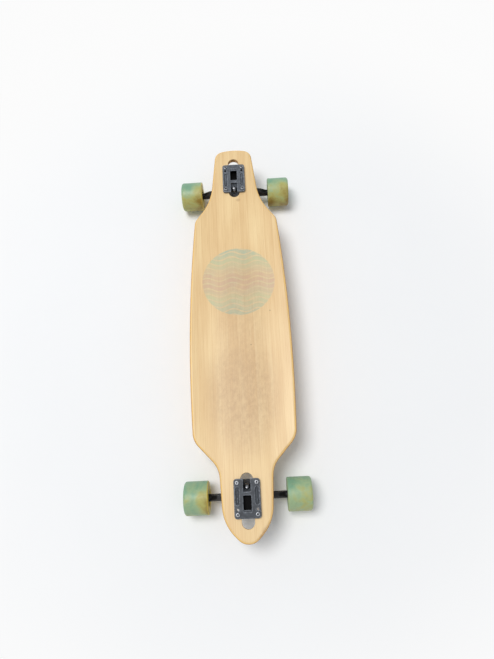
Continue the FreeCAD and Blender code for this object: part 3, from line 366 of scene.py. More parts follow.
class Graph:
    """A node tree with short ways to add nodes to it."""

    def __init__(self, tree: bpy.types.NodeTree) -> None:
        """Keep the tree to add to."""
        self.tree = tree

    def node(self, kind: str, inputs: Mapping[str | int, Value] | None = None,
             **settings: object) -> bpy.types.Node:
        """Add a node.

        Args:
            kind: The node's type.
            inputs: Values or sockets for its inputs, by name or index.
            settings: Values for its own properties.

        Returns:
            The new node.
        """
        made = self.tree.nodes.new(kind)
        for key, setting in settings.items():
            setattr(made, key, setting)
        for key, value in (inputs or {}).items():
            self.feed(made.inputs[key], value)
        return made

    def feed(self, socket: Socket, value: Value) -> None:
        """Link a socket to another, or set its value.

        Args:
            socket: The input to feed.
            value: A worked-out number, a socket, a plain number or a colour.
        """
        if isinstance(value, Number):
            value = value.socket
        if isinstance(value, Socket):
            self.tree.links.new(value, socket)
        elif socket.type == "RGBA" and len(value) == 3:
            socket.default_value = (*value, 1)
        else:
            socket.default_value = value

    def number(self, kind: str, inputs: Mapping[str | int, Value] | None = None, output: str | int = 0,
               **settings: object) -> Number:
        """Add a node and take one of its outputs, the first unless named, as a number."""
        return Number(self, self.node(kind, inputs, **settings).outputs[output])

    def math(self, operation: str, *values: Value, clamp: bool = False) -> Number:
        """Work out a number from others, by Blender's name for the operation."""
        return self.number("ShaderNodeMath", dict(enumerate(values)), operation=operation, use_clamp=clamp)

    def reach(self, first: Number, second: Number) -> Number:
        """The length of a line that runs so far in each of two directions."""
        return self.math("SQRT", first ** 2.0 + second ** 2.0)

    def span(self, value: Value, low: float, high: float, to_low: float = 0.0,
             to_high: float = 1.0) -> Number:
        """Carry a value smoothly from one range to another.

        Args:
            value: The value to carry over.
            low: Where the first range starts.
            high: Where the first range ends.
            to_low: What the start becomes.
            to_high: What the end becomes.

        Returns:
            The carried value.
        """
        return self.number("ShaderNodeMapRange", {
            "Value": value, "From Min": low, "From Max": high, "To Min": to_low, "To Max": to_high,
        }, "Result", interpolation_type="SMOOTHSTEP")

    def noise(self, where: Value, scale: Value, detail: float = 3.0, roughness: float = 0.55,
              distortion: float = 0.0) -> Number:
        """Sample a cloudy noise.

        Args:
            where: Where to sample it.
            scale: Lumps per metre.
            detail: Octaves.
            roughness: How much the finer octaves show.
            distortion: How much the noise swirls.

        Returns:
            A factor around 0.5.
        """
        return self.number("ShaderNodeTexNoise", {
            "Vector": where, "Scale": scale, "Detail": detail, "Roughness": roughness,
            "Distortion": distortion})

    def layers(self, steps: Number) -> tuple[Number, Number]:
        """Part a rising number into layers, one for each whole step.

        Args:
            steps: The number, which rises by 1 from layer to layer.

        Returns:
            A random shade of each layer, and how near the layer's edge is.
        """
        shade = self.number("ShaderNodeTexWhiteNoise", {"W": self.math("FLOOR", steps)}, "Value",
                            noise_dimensions="1D")
        share = self.math("FRACT", steps)
        return shade, self.math("MINIMUM", share, 1.0 - share)

    def mix(self, factor: Value, first: Value, second: Value, mode: str = "MIX") -> Socket:
        """Blend two colours.

        Args:
            factor: How much of the second shows.
            first: The colour below.
            second: The colour above.
            mode: Blender's blending mode.

        Returns:
            The blended colour's socket.
        """
        return self.node("ShaderNodeMix", {0: factor, 6: first, 7: second}, data_type="RGBA",
                         blend_type=mode).outputs[2]

    def lay(self, below: Value, mask: Number, mark: Mark) -> Socket:
        """Lay a mark over a colour where a mask is 1."""
        return self.mix(mask * mark.strength, below, mark.colour)

    def ramp(self, factor: Value, stops: Sequence[tuple[float, Colour]]) -> Socket:
        """Colour a factor.

        Args:
            factor: The factor to colour.
            stops: Places from 0 to 1 with their colours.

        Returns:
            The colour's socket.
        """
        made = self.node("ShaderNodeValToRGB", {"Fac": factor})
        elements = made.color_ramp.elements
        while len(elements) < len(stops):
            elements.new(1.0)
        for element, (place, colour) in zip(elements, stops):
            element.position = place
            element.color = (*colour, 1)
        return made.outputs["Color"]

    def place(self) -> tuple[Socket, Number, Number, Number]:
        """Read where a surface point lies.

        Returns:
            The point's socket, and its X, Y and Z.
        """
        point = self.node("ShaderNodeTexCoord").outputs["Object"]
        parts = self.node("ShaderNodeSeparateXYZ", {0: point}).outputs
        return point, *(Number(self, part) for part in parts)

    def vector(self, x: Value, y: Value, z: Value) -> Socket:
        """Join three numbers into a vector."""
        return self.node("ShaderNodeCombineXYZ", {0: x, 1: y, 2: z}).outputs[0]

    def oval(self, shape: Oval) -> Number:
        """Mask a soft oval.

        Args:
            shape: The oval.

        Returns:
            A mask, 1 in the oval's middle and 0 at its rim.
        """
        _, x, y, _ = self.place()
        across, along = (x - shape.x) / shape.half_width, (y - shape.y) / shape.half_length
        return self.span(across ** 2.0 + along ** 2.0, 0.0, 1.0, 1.0, 0.0)

    def seen(self) -> Number:
        """Tell rays from the eye, mirrored and refracted ones too, from those that only light.

        Returns:
            1 for rays that show something, and otherwise 0.
        """
        path = self.node("ShaderNodeLightPath").outputs
        indirect = self.math("MAXIMUM", path["Is Glossy Ray"], path["Is Transmission Ray"])
        return self.math("MAXIMUM", path["Is Camera Ray"], indirect)

    def bump(self, height: Value, distance: float, strength: float = 1.0) -> Socket:
        """Turn heights into normals.

        Args:
            height: The surface's height, from 0 to 1.
            distance: What a height of 1 measures, in metres.
            strength: How much of it shows.

        Returns:
            The normal's socket.
        """
        return self.node("ShaderNodeBump", {
            "Height": height, "Distance": distance, "Strength": strength}).outputs["Normal"]


@dataclass(frozen=True)
class DirtReach:
    """How far painted shade reaches into a truck's spare holes, bolt heads and pocket."""

    hole_radius: float = 0.00295
    recess_radius: float = 0.0028
    recess_start: float = 0.0002
    recess_full: float = 0.0007
    recess_end: float = 0.0024
    pocket_half_width: float = 0.0087
    pocket_inboard: float = 0.0063
    pocket_outboard: float = 0.0230
    pocket_floor: float = 0.0905
    pocket_mouth: float = 0.1047
    pocket_fade: float = 0.006


class Effects:
    """Surface effects that finishes share, each a node group made once, and the sizes that they follow."""

    def __init__(self, places: Places) -> None:
        """Build the groups.

        Args:
            places: The board's main places.
        """
        self.places = places
        self.deck = DeckShape()
        self.truck = TruckShape()
        self.wheel = WheelShape()
        self.depth = self._pressed_depth()
        self.figure = self._wood_figure()
        self.wear = self._edge_wear()
        self.grime = self._grime()
        self.skin = self._cast_skin()
        # Painted shade in the spare holes, the bolt recesses and the baseplate pockets.
        self.soil = self._hole_soil(DirtReach())

    @staticmethod
    def _group(name: str, inputs: Mapping[str, float],
               outputs: Iterable[str]) -> tuple[Graph, dict[str, Number], dict[str, Socket]]:
        """Start a node group whose sockets are all numbers.

        Args:
            name: The group's name.
            inputs: Its inputs with their usual values.
            outputs: Its outputs.

        Returns:
            The group's graph, with its inputs and outputs by name.
        """
        tree = bpy.data.node_groups.new(name, "ShaderNodeTree")
        for label, usual in inputs.items():
            socket = tree.interface.new_socket(label, in_out="INPUT", socket_type="NodeSocketFloat")
            socket.default_value = usual
        for label in outputs:
            tree.interface.new_socket(label, in_out="OUTPUT", socket_type="NodeSocketFloat")
        graph = Graph(tree)
        given = {s.name: Number(graph, s) for s in graph.node("NodeGroupInput").outputs if s.name}
        taken = {s.name: s for s in graph.node("NodeGroupOutput").inputs if s.name}
        return graph, given, taken

    def _pressed_depth(self) -> bpy.types.NodeTree:
        """Depth below the deck's pressed top face, in metres.

        Returns:
            The group.
        """
        deck, top = self.deck, self.places.deck_top
        graph, _, out = self._group("pressed_depth", {}, ["Depth"])
        _, x, _, z = graph.place()
        over = graph.math("MAXIMUM", abs(x) - deck.flat_half, 0.0)
        fall = graph.math("SQRT", deck.concave ** 2 - over ** 2.0)
        graph.feed(out["Depth"], (top + deck.concave) - fall - z)
        return graph.tree

    def _wood_figure(self) -> bpy.types.NodeTree:
        """Lengthwise wood strips: their tone, seams, fibres and pores.

        Returns:
            The group.
        """
        graph, given, out = self._group(
            "wood_figure", {"Strip width": 0.0195, "Seed": 0.0}, ["Tone", "Seam", "Fibre", "Pore"])
        _, x, y, z = graph.place()
        wander = graph.noise(graph.vector(given["Seed"], y, 0.0), scale=4.0, detail=1.0)
        strip, edge = graph.layers((wander * 0.0016 + x + given["Seed"]) / given["Strip width"])
        graph.feed(out["Seam"], graph.span(edge, 0.0, 0.04, 1.0, 0.0))
        shift = strip * 9.0

        def along(stretch: float) -> Socket:
            """A place drawn out along the fibres, shifted from strip to strip."""
            return graph.vector(x, y * stretch + shift, z)

        fibre = graph.noise(along(0.014), scale=620.0, detail=4.0, roughness=0.62)
        streak = graph.noise(along(0.05), scale=75.0)
        cloud = graph.noise(graph.vector(x, y * 0.35, z), scale=14.0, detail=2.0)
        graph.feed(out["Tone"], fibre * 0.38 + strip * 0.06 + streak * 0.24 + cloud * 0.36)
        graph.feed(out["Fibre"], fibre)
        graph.feed(out["Pore"], graph.span(graph.noise(along(0.03), scale=1500.0, detail=2.0), 0.60, 0.74))
        return graph.tree

    def _edge_wear(self) -> bpy.types.NodeTree:
        """Where corners have rubbed bright, from the mesh's own edge attribute: partly rubbed-through paint,
        partly painted highlight.

        Returns:
            The group.
        """
        graph, given, out = self._group("edge_wear", {"Scale": 260.0, "Reach": 0.5}, ["Mask"])
        edge = graph.number("ShaderNodeAttribute", output="Fac", attribute_name="edge")
        patches = graph.noise(graph.place()[0], given["Scale"], detail=4.0, roughness=0.5)
        rubbed = edge * graph.span(patches, 0.30, 0.66)
        graph.feed(out["Mask"], graph.math("MULTIPLY", rubbed, given["Reach"], clamp=True))
        return graph.tree

    def _grime(self) -> bpy.types.NodeTree:
        """Soft dust and smudges.

        Returns:
            The group.
        """
        graph, given, out = self._group("grime", {"Scale": 40.0, "Cover": 0.5}, ["Mask"])
        patches = graph.noise(graph.place()[0], given["Scale"], detail=6.0, roughness=0.68)
        start = 0.78 - given["Cover"] * 0.5
        graph.feed(out["Mask"], graph.math("MULTIPLY", patches - start, 3.5, clamp=True))
        return graph.tree

    def _cast_skin(self) -> bpy.types.NodeTree:
        """The orange-peel and sand texture of a painted casting.

        Returns:
            The group.
        """
        graph, given, out = self._group("cast_skin", {"Scale": 900.0}, ["Height", "Mottle"])
        point = graph.place()[0]
        peel = graph.noise(point, given["Scale"], detail=2.0, roughness=0.5)
        graph.feed(out["Height"], graph.noise(point, scale=3200.0, detail=2.0) * 0.3 + peel)
        graph.feed(out["Mottle"], graph.noise(point, scale=120.0, detail=4.0))
        return graph.tree

    def _hole_soil(self, dirt: DirtReach) -> bpy.types.NodeTree:
        """Painted shade on the walls of the spare holes, in the bolts' recesses and in the baseplates'
        pockets.

        Args:
            dirt: How far the painted shade reaches.

        Returns:
            The group.
        """
        places, truck = self.places, self.truck
        graph, _, out = self._group("hole_soil", {}, ["Hole", "Recess", "Pocket"])
        _, x, y, z = graph.place()
        outward = abs(y) - places.truck_y
        off_x = abs(x) - truck.bolt_spacing_x / 2

        def within_ring(off_y: Number, radius: float) -> Number:
            """1 near enough to the axis of a hole or bolt."""
            return graph.reach(off_x, off_y) < radius

        graph.feed(out["Hole"], within_ring(outward - truck.spare_y, dirt.hole_radius))
        bolt = within_ring(abs(outward) - truck.bolt_spacing_y / 2, dirt.recess_radius)
        sunk = (places.plate_top + truck.head_height) - z
        recess = graph.span(sunk, dirt.recess_start, dirt.recess_full) * (sunk < dirt.recess_end)
        graph.feed(out["Recess"], bolt * recess)
        within = (outward > -dirt.pocket_inboard) * (outward < dirt.pocket_outboard)
        within = within * (abs(x) < dirt.pocket_half_width)
        shade = graph.span(z, dirt.pocket_mouth - dirt.pocket_fade, dirt.pocket_mouth, 1.0, 0.0)
        graph.feed(out["Pocket"], within * (z > dirt.pocket_floor) * shade)
        return graph.tree


Tones = TypeVar("Tones")


class Finish(Generic[Tones]):
    """A surface finish: it makes its material once and hands it out."""

    def __init__(self, name: str, slot: Slot | None, tones: Tones, effects: Effects) -> None:
        """Make the material.

        Args:
            name: The material's name.
            slot: The record's slot that pieces with this finish take; it is stored but not used.
            tones: The finish's own colours and marks.
            effects: The shared effects.
        """
        self.slot = slot
        self.tones = tones
        self.effects = effects
        self.material = bpy.data.materials.new(name)
        self.material.use_nodes = True
        self.material.node_tree.nodes.clear()
        self.graph = Graph(self.material.node_tree)
        self.shader = self.graph.node("ShaderNodeBsdfPrincipled")
        self.output = self.graph.node("ShaderNodeOutputMaterial", {"Surface": self.shader.outputs[0]})
        self.build()

    def build(self) -> None:
        """Lay out the finish's own nodes."""
        raise NotImplementedError

    def effect(self, tree: bpy.types.NodeTree, **values: float) -> dict[str, Number]:
        """Place a shared effect in the material, and give its outputs by name."""
        made = self.graph.node("ShaderNodeGroup", values, node_tree=tree)
        return {socket.name: Number(self.graph, socket) for socket in made.outputs}

    def paint(self, **sockets: Value) -> None:
        """Feed the shader's inputs, named with underscores for spaces."""
        for key, value in sockets.items():
            self.graph.feed(self.shader.inputs[key.replace("_", " ")], value)


@dataclass(frozen=True)
class BandPrint:
    """A faded round print of plain wave bands: its place, its waves and its inks from low to high."""

    x: float = 0.001
    y: float = 0.105
    radius: float = 0.0875
    rim: float = 0.003
    wave_rate: float = 105.0
    wave_height: float = 0.0045
    bands: float = 13.0
    wash: Colour = tone(188, 192, 164)
    inks: tuple[tuple[float, Colour], ...] = (
        (0.06, tone(146, 182, 156)), (0.26, tone(190, 194, 146)), (0.40, tone(204, 166, 140)),
        (0.52, tone(202, 152, 134)), (0.64, tone(206, 176, 140)), (0.78, tone(184, 194, 150)),
        (0.94, tone(144, 180, 162)))


@dataclass(frozen=True)
class VeneerTones:
    """Colours and marks of a veneer face; a worn one lies on top."""

    pale: Colour = tone(247, 219, 166)
    deep: Colour = tone(216, 176, 120)
    seam: Mark = Mark(tone(202, 160, 108), 0.32)
    pore: Mark = Mark(tone(186, 146, 100), 0.28)
    rim: Mark = Mark(tone(244, 202, 118))
    scuff: Mark = Mark(tone(156, 116, 78), 0.56)
    knot: Mark = Mark(tone(156, 116, 78), 0.35)
    drag: Mark = Mark(tone(156, 116, 78))
    speck: Mark = Mark(tone(96, 72, 48), 0.42)
    # Painted shade on the walls of the spare holes.
    soil: Mark = Mark(tone(40, 30, 22))
    back_foot: Oval = Oval(0.002, -0.165, 0.098, 0.175)
    both_feet: Oval = Oval(0.004, -0.01, 0.075, 0.23)
    knot_at: Oval = Oval(0.009, 0.327, 0.007, 0.006)
    drag_at: Oval = Oval(0.084, -0.496, 0.0765, 0.0765)
    seed: float = 0.0067
    worn: bool = True


class VeneerFinish(Finish[VeneerTones]):
    """Lacquered pale strips, rubbed and scuffed where feet stand."""

    def build(self) -> None:
        """Lay strips and a rim, and on a worn face the print and the marks of use."""
        graph, tones, effects = self.graph, self.tones, self.effects
        wood = self.effect(effects.figure, Seed=tones.seed)
        colour = graph.mix(graph.span(wood["Tone"], 0.26, 0.78), tones.deep, tones.pale)
        colour = graph.lay(colour, wood["Seam"], tones.seam)
        colour = graph.lay(colour, wood["Pore"], tones.pore)
        depth = self.effect(effects.depth)["Depth"]
        if tones.worn:
            colour = self._add_scuffs(self._add_print(colour, BandPrint()))
        else:
            depth = effects.deck.thickness - depth
        rim = graph.span(depth, effects.deck.rim_start, effects.deck.rim_full)
        patches = graph.noise(graph.place()[0], scale=28.0, detail=5.0, roughness=0.7)
        colour = graph.lay(colour, rim * graph.span(patches, 0.32, 0.66, 0.35, 0.9), tones.rim)
        if tones.worn:
            colour = self._drag_tail(colour)
        # Painted shade on the walls of the spare holes.
        colour = graph.lay(colour, self.effect(effects.soil)["Hole"], tones.soil)
        height = wood["Fibre"] - wood["Seam"] * 0.6
        self.paint(Base_Color=colour, Roughness=wood["Fibre"] * 0.16 + 0.34,
                   Normal=graph.bump(height, 0.00006), Coat_Weight=0.18, Coat_Roughness=0.32)

    def _add_print(self, colour: Socket, design: BandPrint) -> Socket:
        """Lay a print over the wood.

        Args:
            colour: The wood's colour.
            design: The print.

        Returns:
            The printed colour's socket.
        """
        graph = self.graph
        point, x, y, _ = graph.place()
        along, up = x - design.x, y - design.y
        disc = graph.span(graph.reach(along, up), design.radius - design.rim, design.radius, 1.0, 0.0)
        wave = graph.math("SINE", along * design.wave_rate) * design.wave_height + up
        height = wave * (0.5 / design.radius) + 0.5
        share = graph.math("FRACT", height * design.bands)
        ink = graph.span(abs(share - 0.5), 0.33, 0.42, 1.0, 0.0)
        faded = graph.noise(point, scale=55.0, detail=6.0, roughness=0.7)
        ink = ink * graph.span(faded, 0.30, 0.68, 0.22, 0.62)
        wash = graph.span(graph.noise(point, scale=30.0, detail=4.0), 0.3, 0.7, 0.26, 0.46)
        colour = graph.mix(disc * wash, colour, design.wash)
        return graph.mix(disc * ink, colour, graph.ramp(height, design.inks))

    def _add_scuffs(self, colour: Socket) -> Socket:
        """Rub grey-brown foot marks and dark specks into the wood.

        Args:
            colour: The wood's colour.

        Returns:
            The marked colour's socket.
        """
        graph, tones = self.graph, self.tones
        point, x, y, z = graph.place()
        smear = graph.noise(graph.vector(x, y * 0.6, z), scale=120.0, detail=8.0, roughness=0.80)
        stand = graph.math("MAXIMUM", graph.oval(tones.back_foot), graph.oval(tones.both_feet) * 0.62)
        colour = graph.lay(colour, stand * graph.span(smear, 0.30, 0.72, 0.42, 1.0), tones.scuff)
        colour = graph.lay(colour, graph.oval(tones.knot_at), tones.knot)
        dots = graph.node("ShaderNodeTexVoronoi", {"Vector": point, "Scale": 42.0, "Randomness": 1.0}).outputs
        chosen = graph.number("ShaderNodeSeparateColor", {0: dots["Color"]})
        fleck = Number(graph, dots["Distance"]) < graph.span(chosen, 0.80, 1.0, 0.0, 0.075)
        return graph.lay(colour, fleck, tones.speck)

    def _drag_tail(self, colour: Socket) -> Socket:
        """Wear the right edge of the tail brown, where the board is stood up and dragged.

        Args:
            colour: The wood's colour.

        Returns:
            The worn colour's socket.
        """
        graph = self.graph
        edge = graph.math("MULTIPLY", graph.oval(self.tones.drag_at), 6.0, clamp=True)
        patches = graph.noise(graph.place()[0], scale=130.0, detail=6.0, roughness=0.7)
        return graph.lay(colour, edge * graph.span(patches, 0.34, 0.64, 0.22, 0.85), self.tones.drag)


@dataclass(frozen=True)
class CoreTones:
    """Colours of the laminated core."""

    pale: Colour = tone(238, 188, 112)
    deep: Colour = tone(183, 118, 58)
    glue: Mark = Mark(tone(112, 66, 32), 0.62)
    knock: Mark = Mark(tone(120, 84, 52), 0.45)
    # Painted shade on the walls of the spare holes.
    soil: Mark = Mark(tone(40, 30, 22))


class CoreFinish(Finish[CoreTones]):
    """The deck's laminated core, as its rounded edge shows it."""

    def build(self) -> None:
        """Lay plies with glue lines between them."""
        graph, tones, effects = self.graph, self.tones, self.effects
        depth = self.effect(effects.depth)["Depth"]
        ply, edge = graph.layers((depth - effects.deck.veneer) / effects.deck.ply)
        glue = graph.span(edge, 0.0, 0.09, 1.0, 0.0)
        _, x, y, z = graph.place()
        fibres = graph.noise(graph.vector(x, y * 0.06, z * 2.0), scale=420.0, detail=4.0)
        colour = graph.mix(graph.span(fibres * 0.6 + ply * 0.55, 0.2, 0.95), tones.deep, tones.pale)
        colour = graph.lay(colour, glue, tones.glue)
        colour = graph.lay(colour, self.effect(effects.grime, Scale=95.0, Cover=0.32)["Mask"], tones.knock)
        # Painted shade on the walls of the spare holes.
        colour = graph.lay(colour, self.effect(effects.soil)["Hole"], tones.soil)
        self.paint(Base_Color=colour, Roughness=fibres * 0.2 + 0.42,
                   Normal=graph.bump(fibres - glue, 0.00007), Coat_Weight=0.12, Coat_Roughness=0.4)


@dataclass(frozen=True)
class CastTones:
    """Colours of a painted casting."""

    paint: Colour
    shade: Colour
    # Colour of the rubbed edges: the metal under the paint, with a painted highlight.
    bare: Colour
    dust: Mark
    rough: float
    wear: float
    dusty: float
    metallic: float = 0.10
    # How much of its colour the casting keeps at the rear end; below 1 the rear is darkened by painted shade.
    rear_share: float = 1.0
    # Painted shade in the spare holes and the pocket under the window.
    soil: Mark = Mark(tone(14, 14, 15))


class CastFinish(Finish[CastTones]):
    """Paint on a casting, rubbed through and lighter on its edges, and darker towards the rear where told:
    the edges part rubbed metal and part painted highlight, the rear painted shade.
    """

    def build(self) -> None:
        """Lay the paint's skin, dust, rubbed and highlighted edges, painted shade towards the rear, and
        painted shade in the holes and pocket.
        """
        graph, tones, effects = self.graph, self.tones, self.effects
        skin = self.effect(effects.skin)
        wear = self.effect(effects.wear, Reach=tones.wear)["Mask"]
        dust = self.effect(effects.grime, Scale=70.0, Cover=tones.dusty)["Mask"]
        colour = graph.mix(graph.span(skin["Mottle"], 0.35, 0.66), tones.shade, tones.paint)
        colour = graph.lay(colour, dust, tones.dust)
        _, _, y, _ = graph.place()
        # Painted shade: the colour is dimmed towards the rear, down to the rear share at the back plate.
        painted_rear_shade = graph.span(y, -0.35, 0.35, tones.rear_share, 1.0)
        # Lighter edges: part rubbed-through metal, part painted highlight.
        colour = graph.mix(wear, graph.mix(1.0, colour, painted_rear_shade, "MULTIPLY"), tones.bare)
        # Painted shade: the spare holes and the pocket turn near black, and fully metallic so that they show
        # no sheen.
        holes = self.effect(effects.soil)
        soil = graph.math("MAXIMUM", holes["Hole"], holes["Pocket"])
        colour = graph.lay(colour, soil, tones.soil)
        metal = graph.math("MAXIMUM", wear * 0.5 + tones.metallic, soil)
        self.paint(Base_Color=colour, Roughness=dust * 0.22 + tones.rough - wear * 0.08, Metallic=metal,
                   Specular_IOR_Level=0.24, Normal=graph.bump(skin["Height"], 0.00009, 0.7))


@dataclass(frozen=True)
class MetalTones:
    """Colours and polish of a bare metal."""

    bright: Colour
    dull: Mark
    rough: float
    drawn: float
    # Painted shade in the bolts' recesses.
    soil: Mark = Mark(tone(16, 16, 17))


class MetalFinish(Finish[MetalTones]):
    """Bare metal with turning marks and a little tarnish."""

    def build(self) -> None:
        """Lay turning marks, tarnish and painted shade in the bolts' recesses."""
        graph, tones, effects = self.graph, self.tones, self.effects
        _, x, y, z = graph.place()
        marks = graph.noise(graph.vector(x * 0.12, y, z), scale=2600.0, detail=2.0)
        tarnish = self.effect(effects.grime, Scale=160.0, Cover=0.45)["Mask"]
        colour = graph.lay(tones.bright, tarnish, tones.dull)
        # Painted shade in the bolts' recesses.
        colour = graph.lay(colour, self.effect(effects.soil)["Recess"], tones.soil)
        rough = marks * tones.drawn + tones.rough + tarnish * 0.18
        self.paint(Base_Color=colour, Metallic=1.0, Roughness=rough, Normal=graph.bump(marks, 0.00001, 0.5))


@dataclass(frozen=True)
class MarbleTones:
    """Colours poured together in a tyre, and the slopes of painted light and shade laid along and across the
    board.
    """

    brown: Colour = tone(146, 120, 46)
    olive: Colour = tone(178, 176, 104)
    sage: Colour = tone(158, 181, 138)
    teal: Colour = tone(122, 166, 136)
    # The inner face's own yellow, made paler as painted light against the deck's shade.
    inner: Colour = tone(212, 190, 80)
    dirt: Mark = Mark(tone(98, 96, 74), 0.32)
    # Slopes of painted light and shade: each tyre teal on its nose and left sides, brown on its tail and
    # right sides.
    rear_lean: float = 0.10
    front_lean: float = 0.20
    side_lean: float = 2.6
    pool_x: float = 0.010
    pool_radius: float = 0.024
    pool_depth: float = 0.09
    inner_start: float = 0.0008
    inner_end: float = 0.0032
    front_at: float = 0.1
    side_at: float = 0.01


class TyreFinish(Finish[MarbleTones]):
    """Marbled urethane, half gloss, a little dirty on the tread."""

    def build(self) -> None:
        """Pour the colours, tilt them with painted light and shade, and lay the inner face's tone and the
        dirty patches over them.
        """
        graph, tones, effects = self.graph, self.tones, self.effects
        places, wheel = effects.places, effects.wheel
        point, x, y, z = graph.place()
        side = graph.math("SIGN", x)
        ahead = (abs(y) - places.axle_y) * graph.math("SIGN", y)
        aside = x - side * places.hub_x - tones.pool_x
        pool = (aside / tones.pool_radius) ** 2.0 + (ahead / tones.pool_radius) ** 2.0
        pour = graph.noise(point, scale=24.0, detail=2.0, roughness=0.5, distortion=0.6)
        swirl = graph.noise(point, scale=75.0, detail=5.0, roughness=0.62, distortion=1.2)
        # Painted light and shade: teal towards the nose and left side of each tyre, brown towards the tail
        # and right, steeper on the front tyres.
        painted_light_slope = graph.span(y, -tones.front_at, tones.front_at, tones.rear_lean / wheel.radius,
                          tones.front_lean / wheel.radius)
        across = x - side * (places.hub_x + (wheel.outer - wheel.inner) / 2)
        mixed = pour * 0.66 + 0.145 + swirl * 0.16 + ahead * painted_light_slope - across * tones.side_lean
        mixed = mixed - graph.span(pool, 0.0, 1.0, 1.0, 0.0) * tones.pool_depth
        colour = graph.ramp(mixed, [
            (0.28, tones.brown), (0.40, tones.olive), (0.52, tones.sage), (0.68, tones.teal)])
        # The inner face's yellow, mostly on the left tyres; partly its own colour, partly painted light
        # lifting the deck's shade.
        inner_x = places.hub_x - wheel.inner
        face = graph.span(abs(x), inner_x + tones.inner_start, inner_x + tones.inner_end, 1.0, 0.0)
        cover = graph.span(x, -tones.side_at, tones.side_at, 0.85, 0.1)
        colour = graph.mix(face * cover, colour, tones.inner)
        dirt = self.effect(effects.grime, Scale=120.0, Cover=0.55)["Mask"]
        rings = graph.noise(graph.vector(x, y * 0.02, z * 0.02), scale=900.0, detail=2.0)
        soil = dirt * graph.span(rings, 0.35, 0.65, 0.4, 1.0)
        height = rings * 0.5 + graph.noise(point, scale=1400.0, detail=2.0)
        self.paint(Base_Color=graph.lay(colour, soil, tones.dirt), Roughness=soil * 0.25 + 0.40,
                   Normal=graph.bump(height, 0.00004, 0.6), Subsurface_Weight=0.06,
                   Subsurface_Radius=(0.004, 0.004, 0.002), IOR=1.48)


@dataclass(frozen=True)
class PlasticTones:
    """Colours and gloss of a moulded piece."""

    body: Colour
    cloud: Colour
    rough: float
    soft: float = 0.0


class PlasticFinish(Finish[PlasticTones]):
    """Moulded plastic or urethane with faint flow marks."""

    def build(self) -> None:
        """Lay flow marks, scuffs and a fine grain."""
        graph, tones = self.graph, self.tones
        point = graph.place()[0]
        flow = graph.noise(point, scale=85.0, detail=4.0, roughness=0.6, distortion=1.4)
        colour = graph.mix(graph.span(flow, 0.36, 0.66), tones.body, tones.cloud)
        scuff = self.effect(self.effects.grime, Scale=210.0, Cover=0.4)["Mask"]
        grain = graph.noise(point, scale=1900.0, detail=2.0)
        self.paint(Base_Color=colour, Roughness=scuff * 0.2 + tones.rough, Subsurface_Weight=tones.soft,
                   Subsurface_Radius=(0.006, 0.004, 0.002), Normal=graph.bump(grain, 0.00003, 0.5))


@dataclass(frozen=True)
class FloorTones:
    """Colours of the floor, how pale its backdrop is, and how far out one fades into the other."""

    shade: Colour = tone(250, 251, 253)
    light: Colour = tone(251, 252, 254)
    backdrop: float = 0.97
    near: float = 0.46
    far: float = 1.05


class FloorFinish(Finish[FloorTones]):
    """A pale matt floor that keeps the board's shadow and runs out into a plain backdrop."""

    def build(self) -> None:
        """Lay the floor's own tone, and fade it out."""
        graph, tones = self.graph, self.tones
        point, x, y, _ = graph.place()
        colour = graph.mix(graph.span(graph.noise(point, scale=3.0), 0.3, 0.7), tones.shade, tones.light)
        self.paint(Base_Color=colour, Roughness=0.9, Specular_IOR_Level=0.1)
        fade = graph.span(graph.reach(x, y), tones.near, tones.far) * graph.seen()
        plain = graph.node("ShaderNodeEmission", {"Color": (1, 1, 1, 1), "Strength": tones.backdrop})
        joined = graph.node("ShaderNodeMixShader", {0: fade, 1: self.shader.outputs[0], 2: plain.outputs[0]})
        graph.feed(self.output.inputs["Surface"], joined.outputs[0])


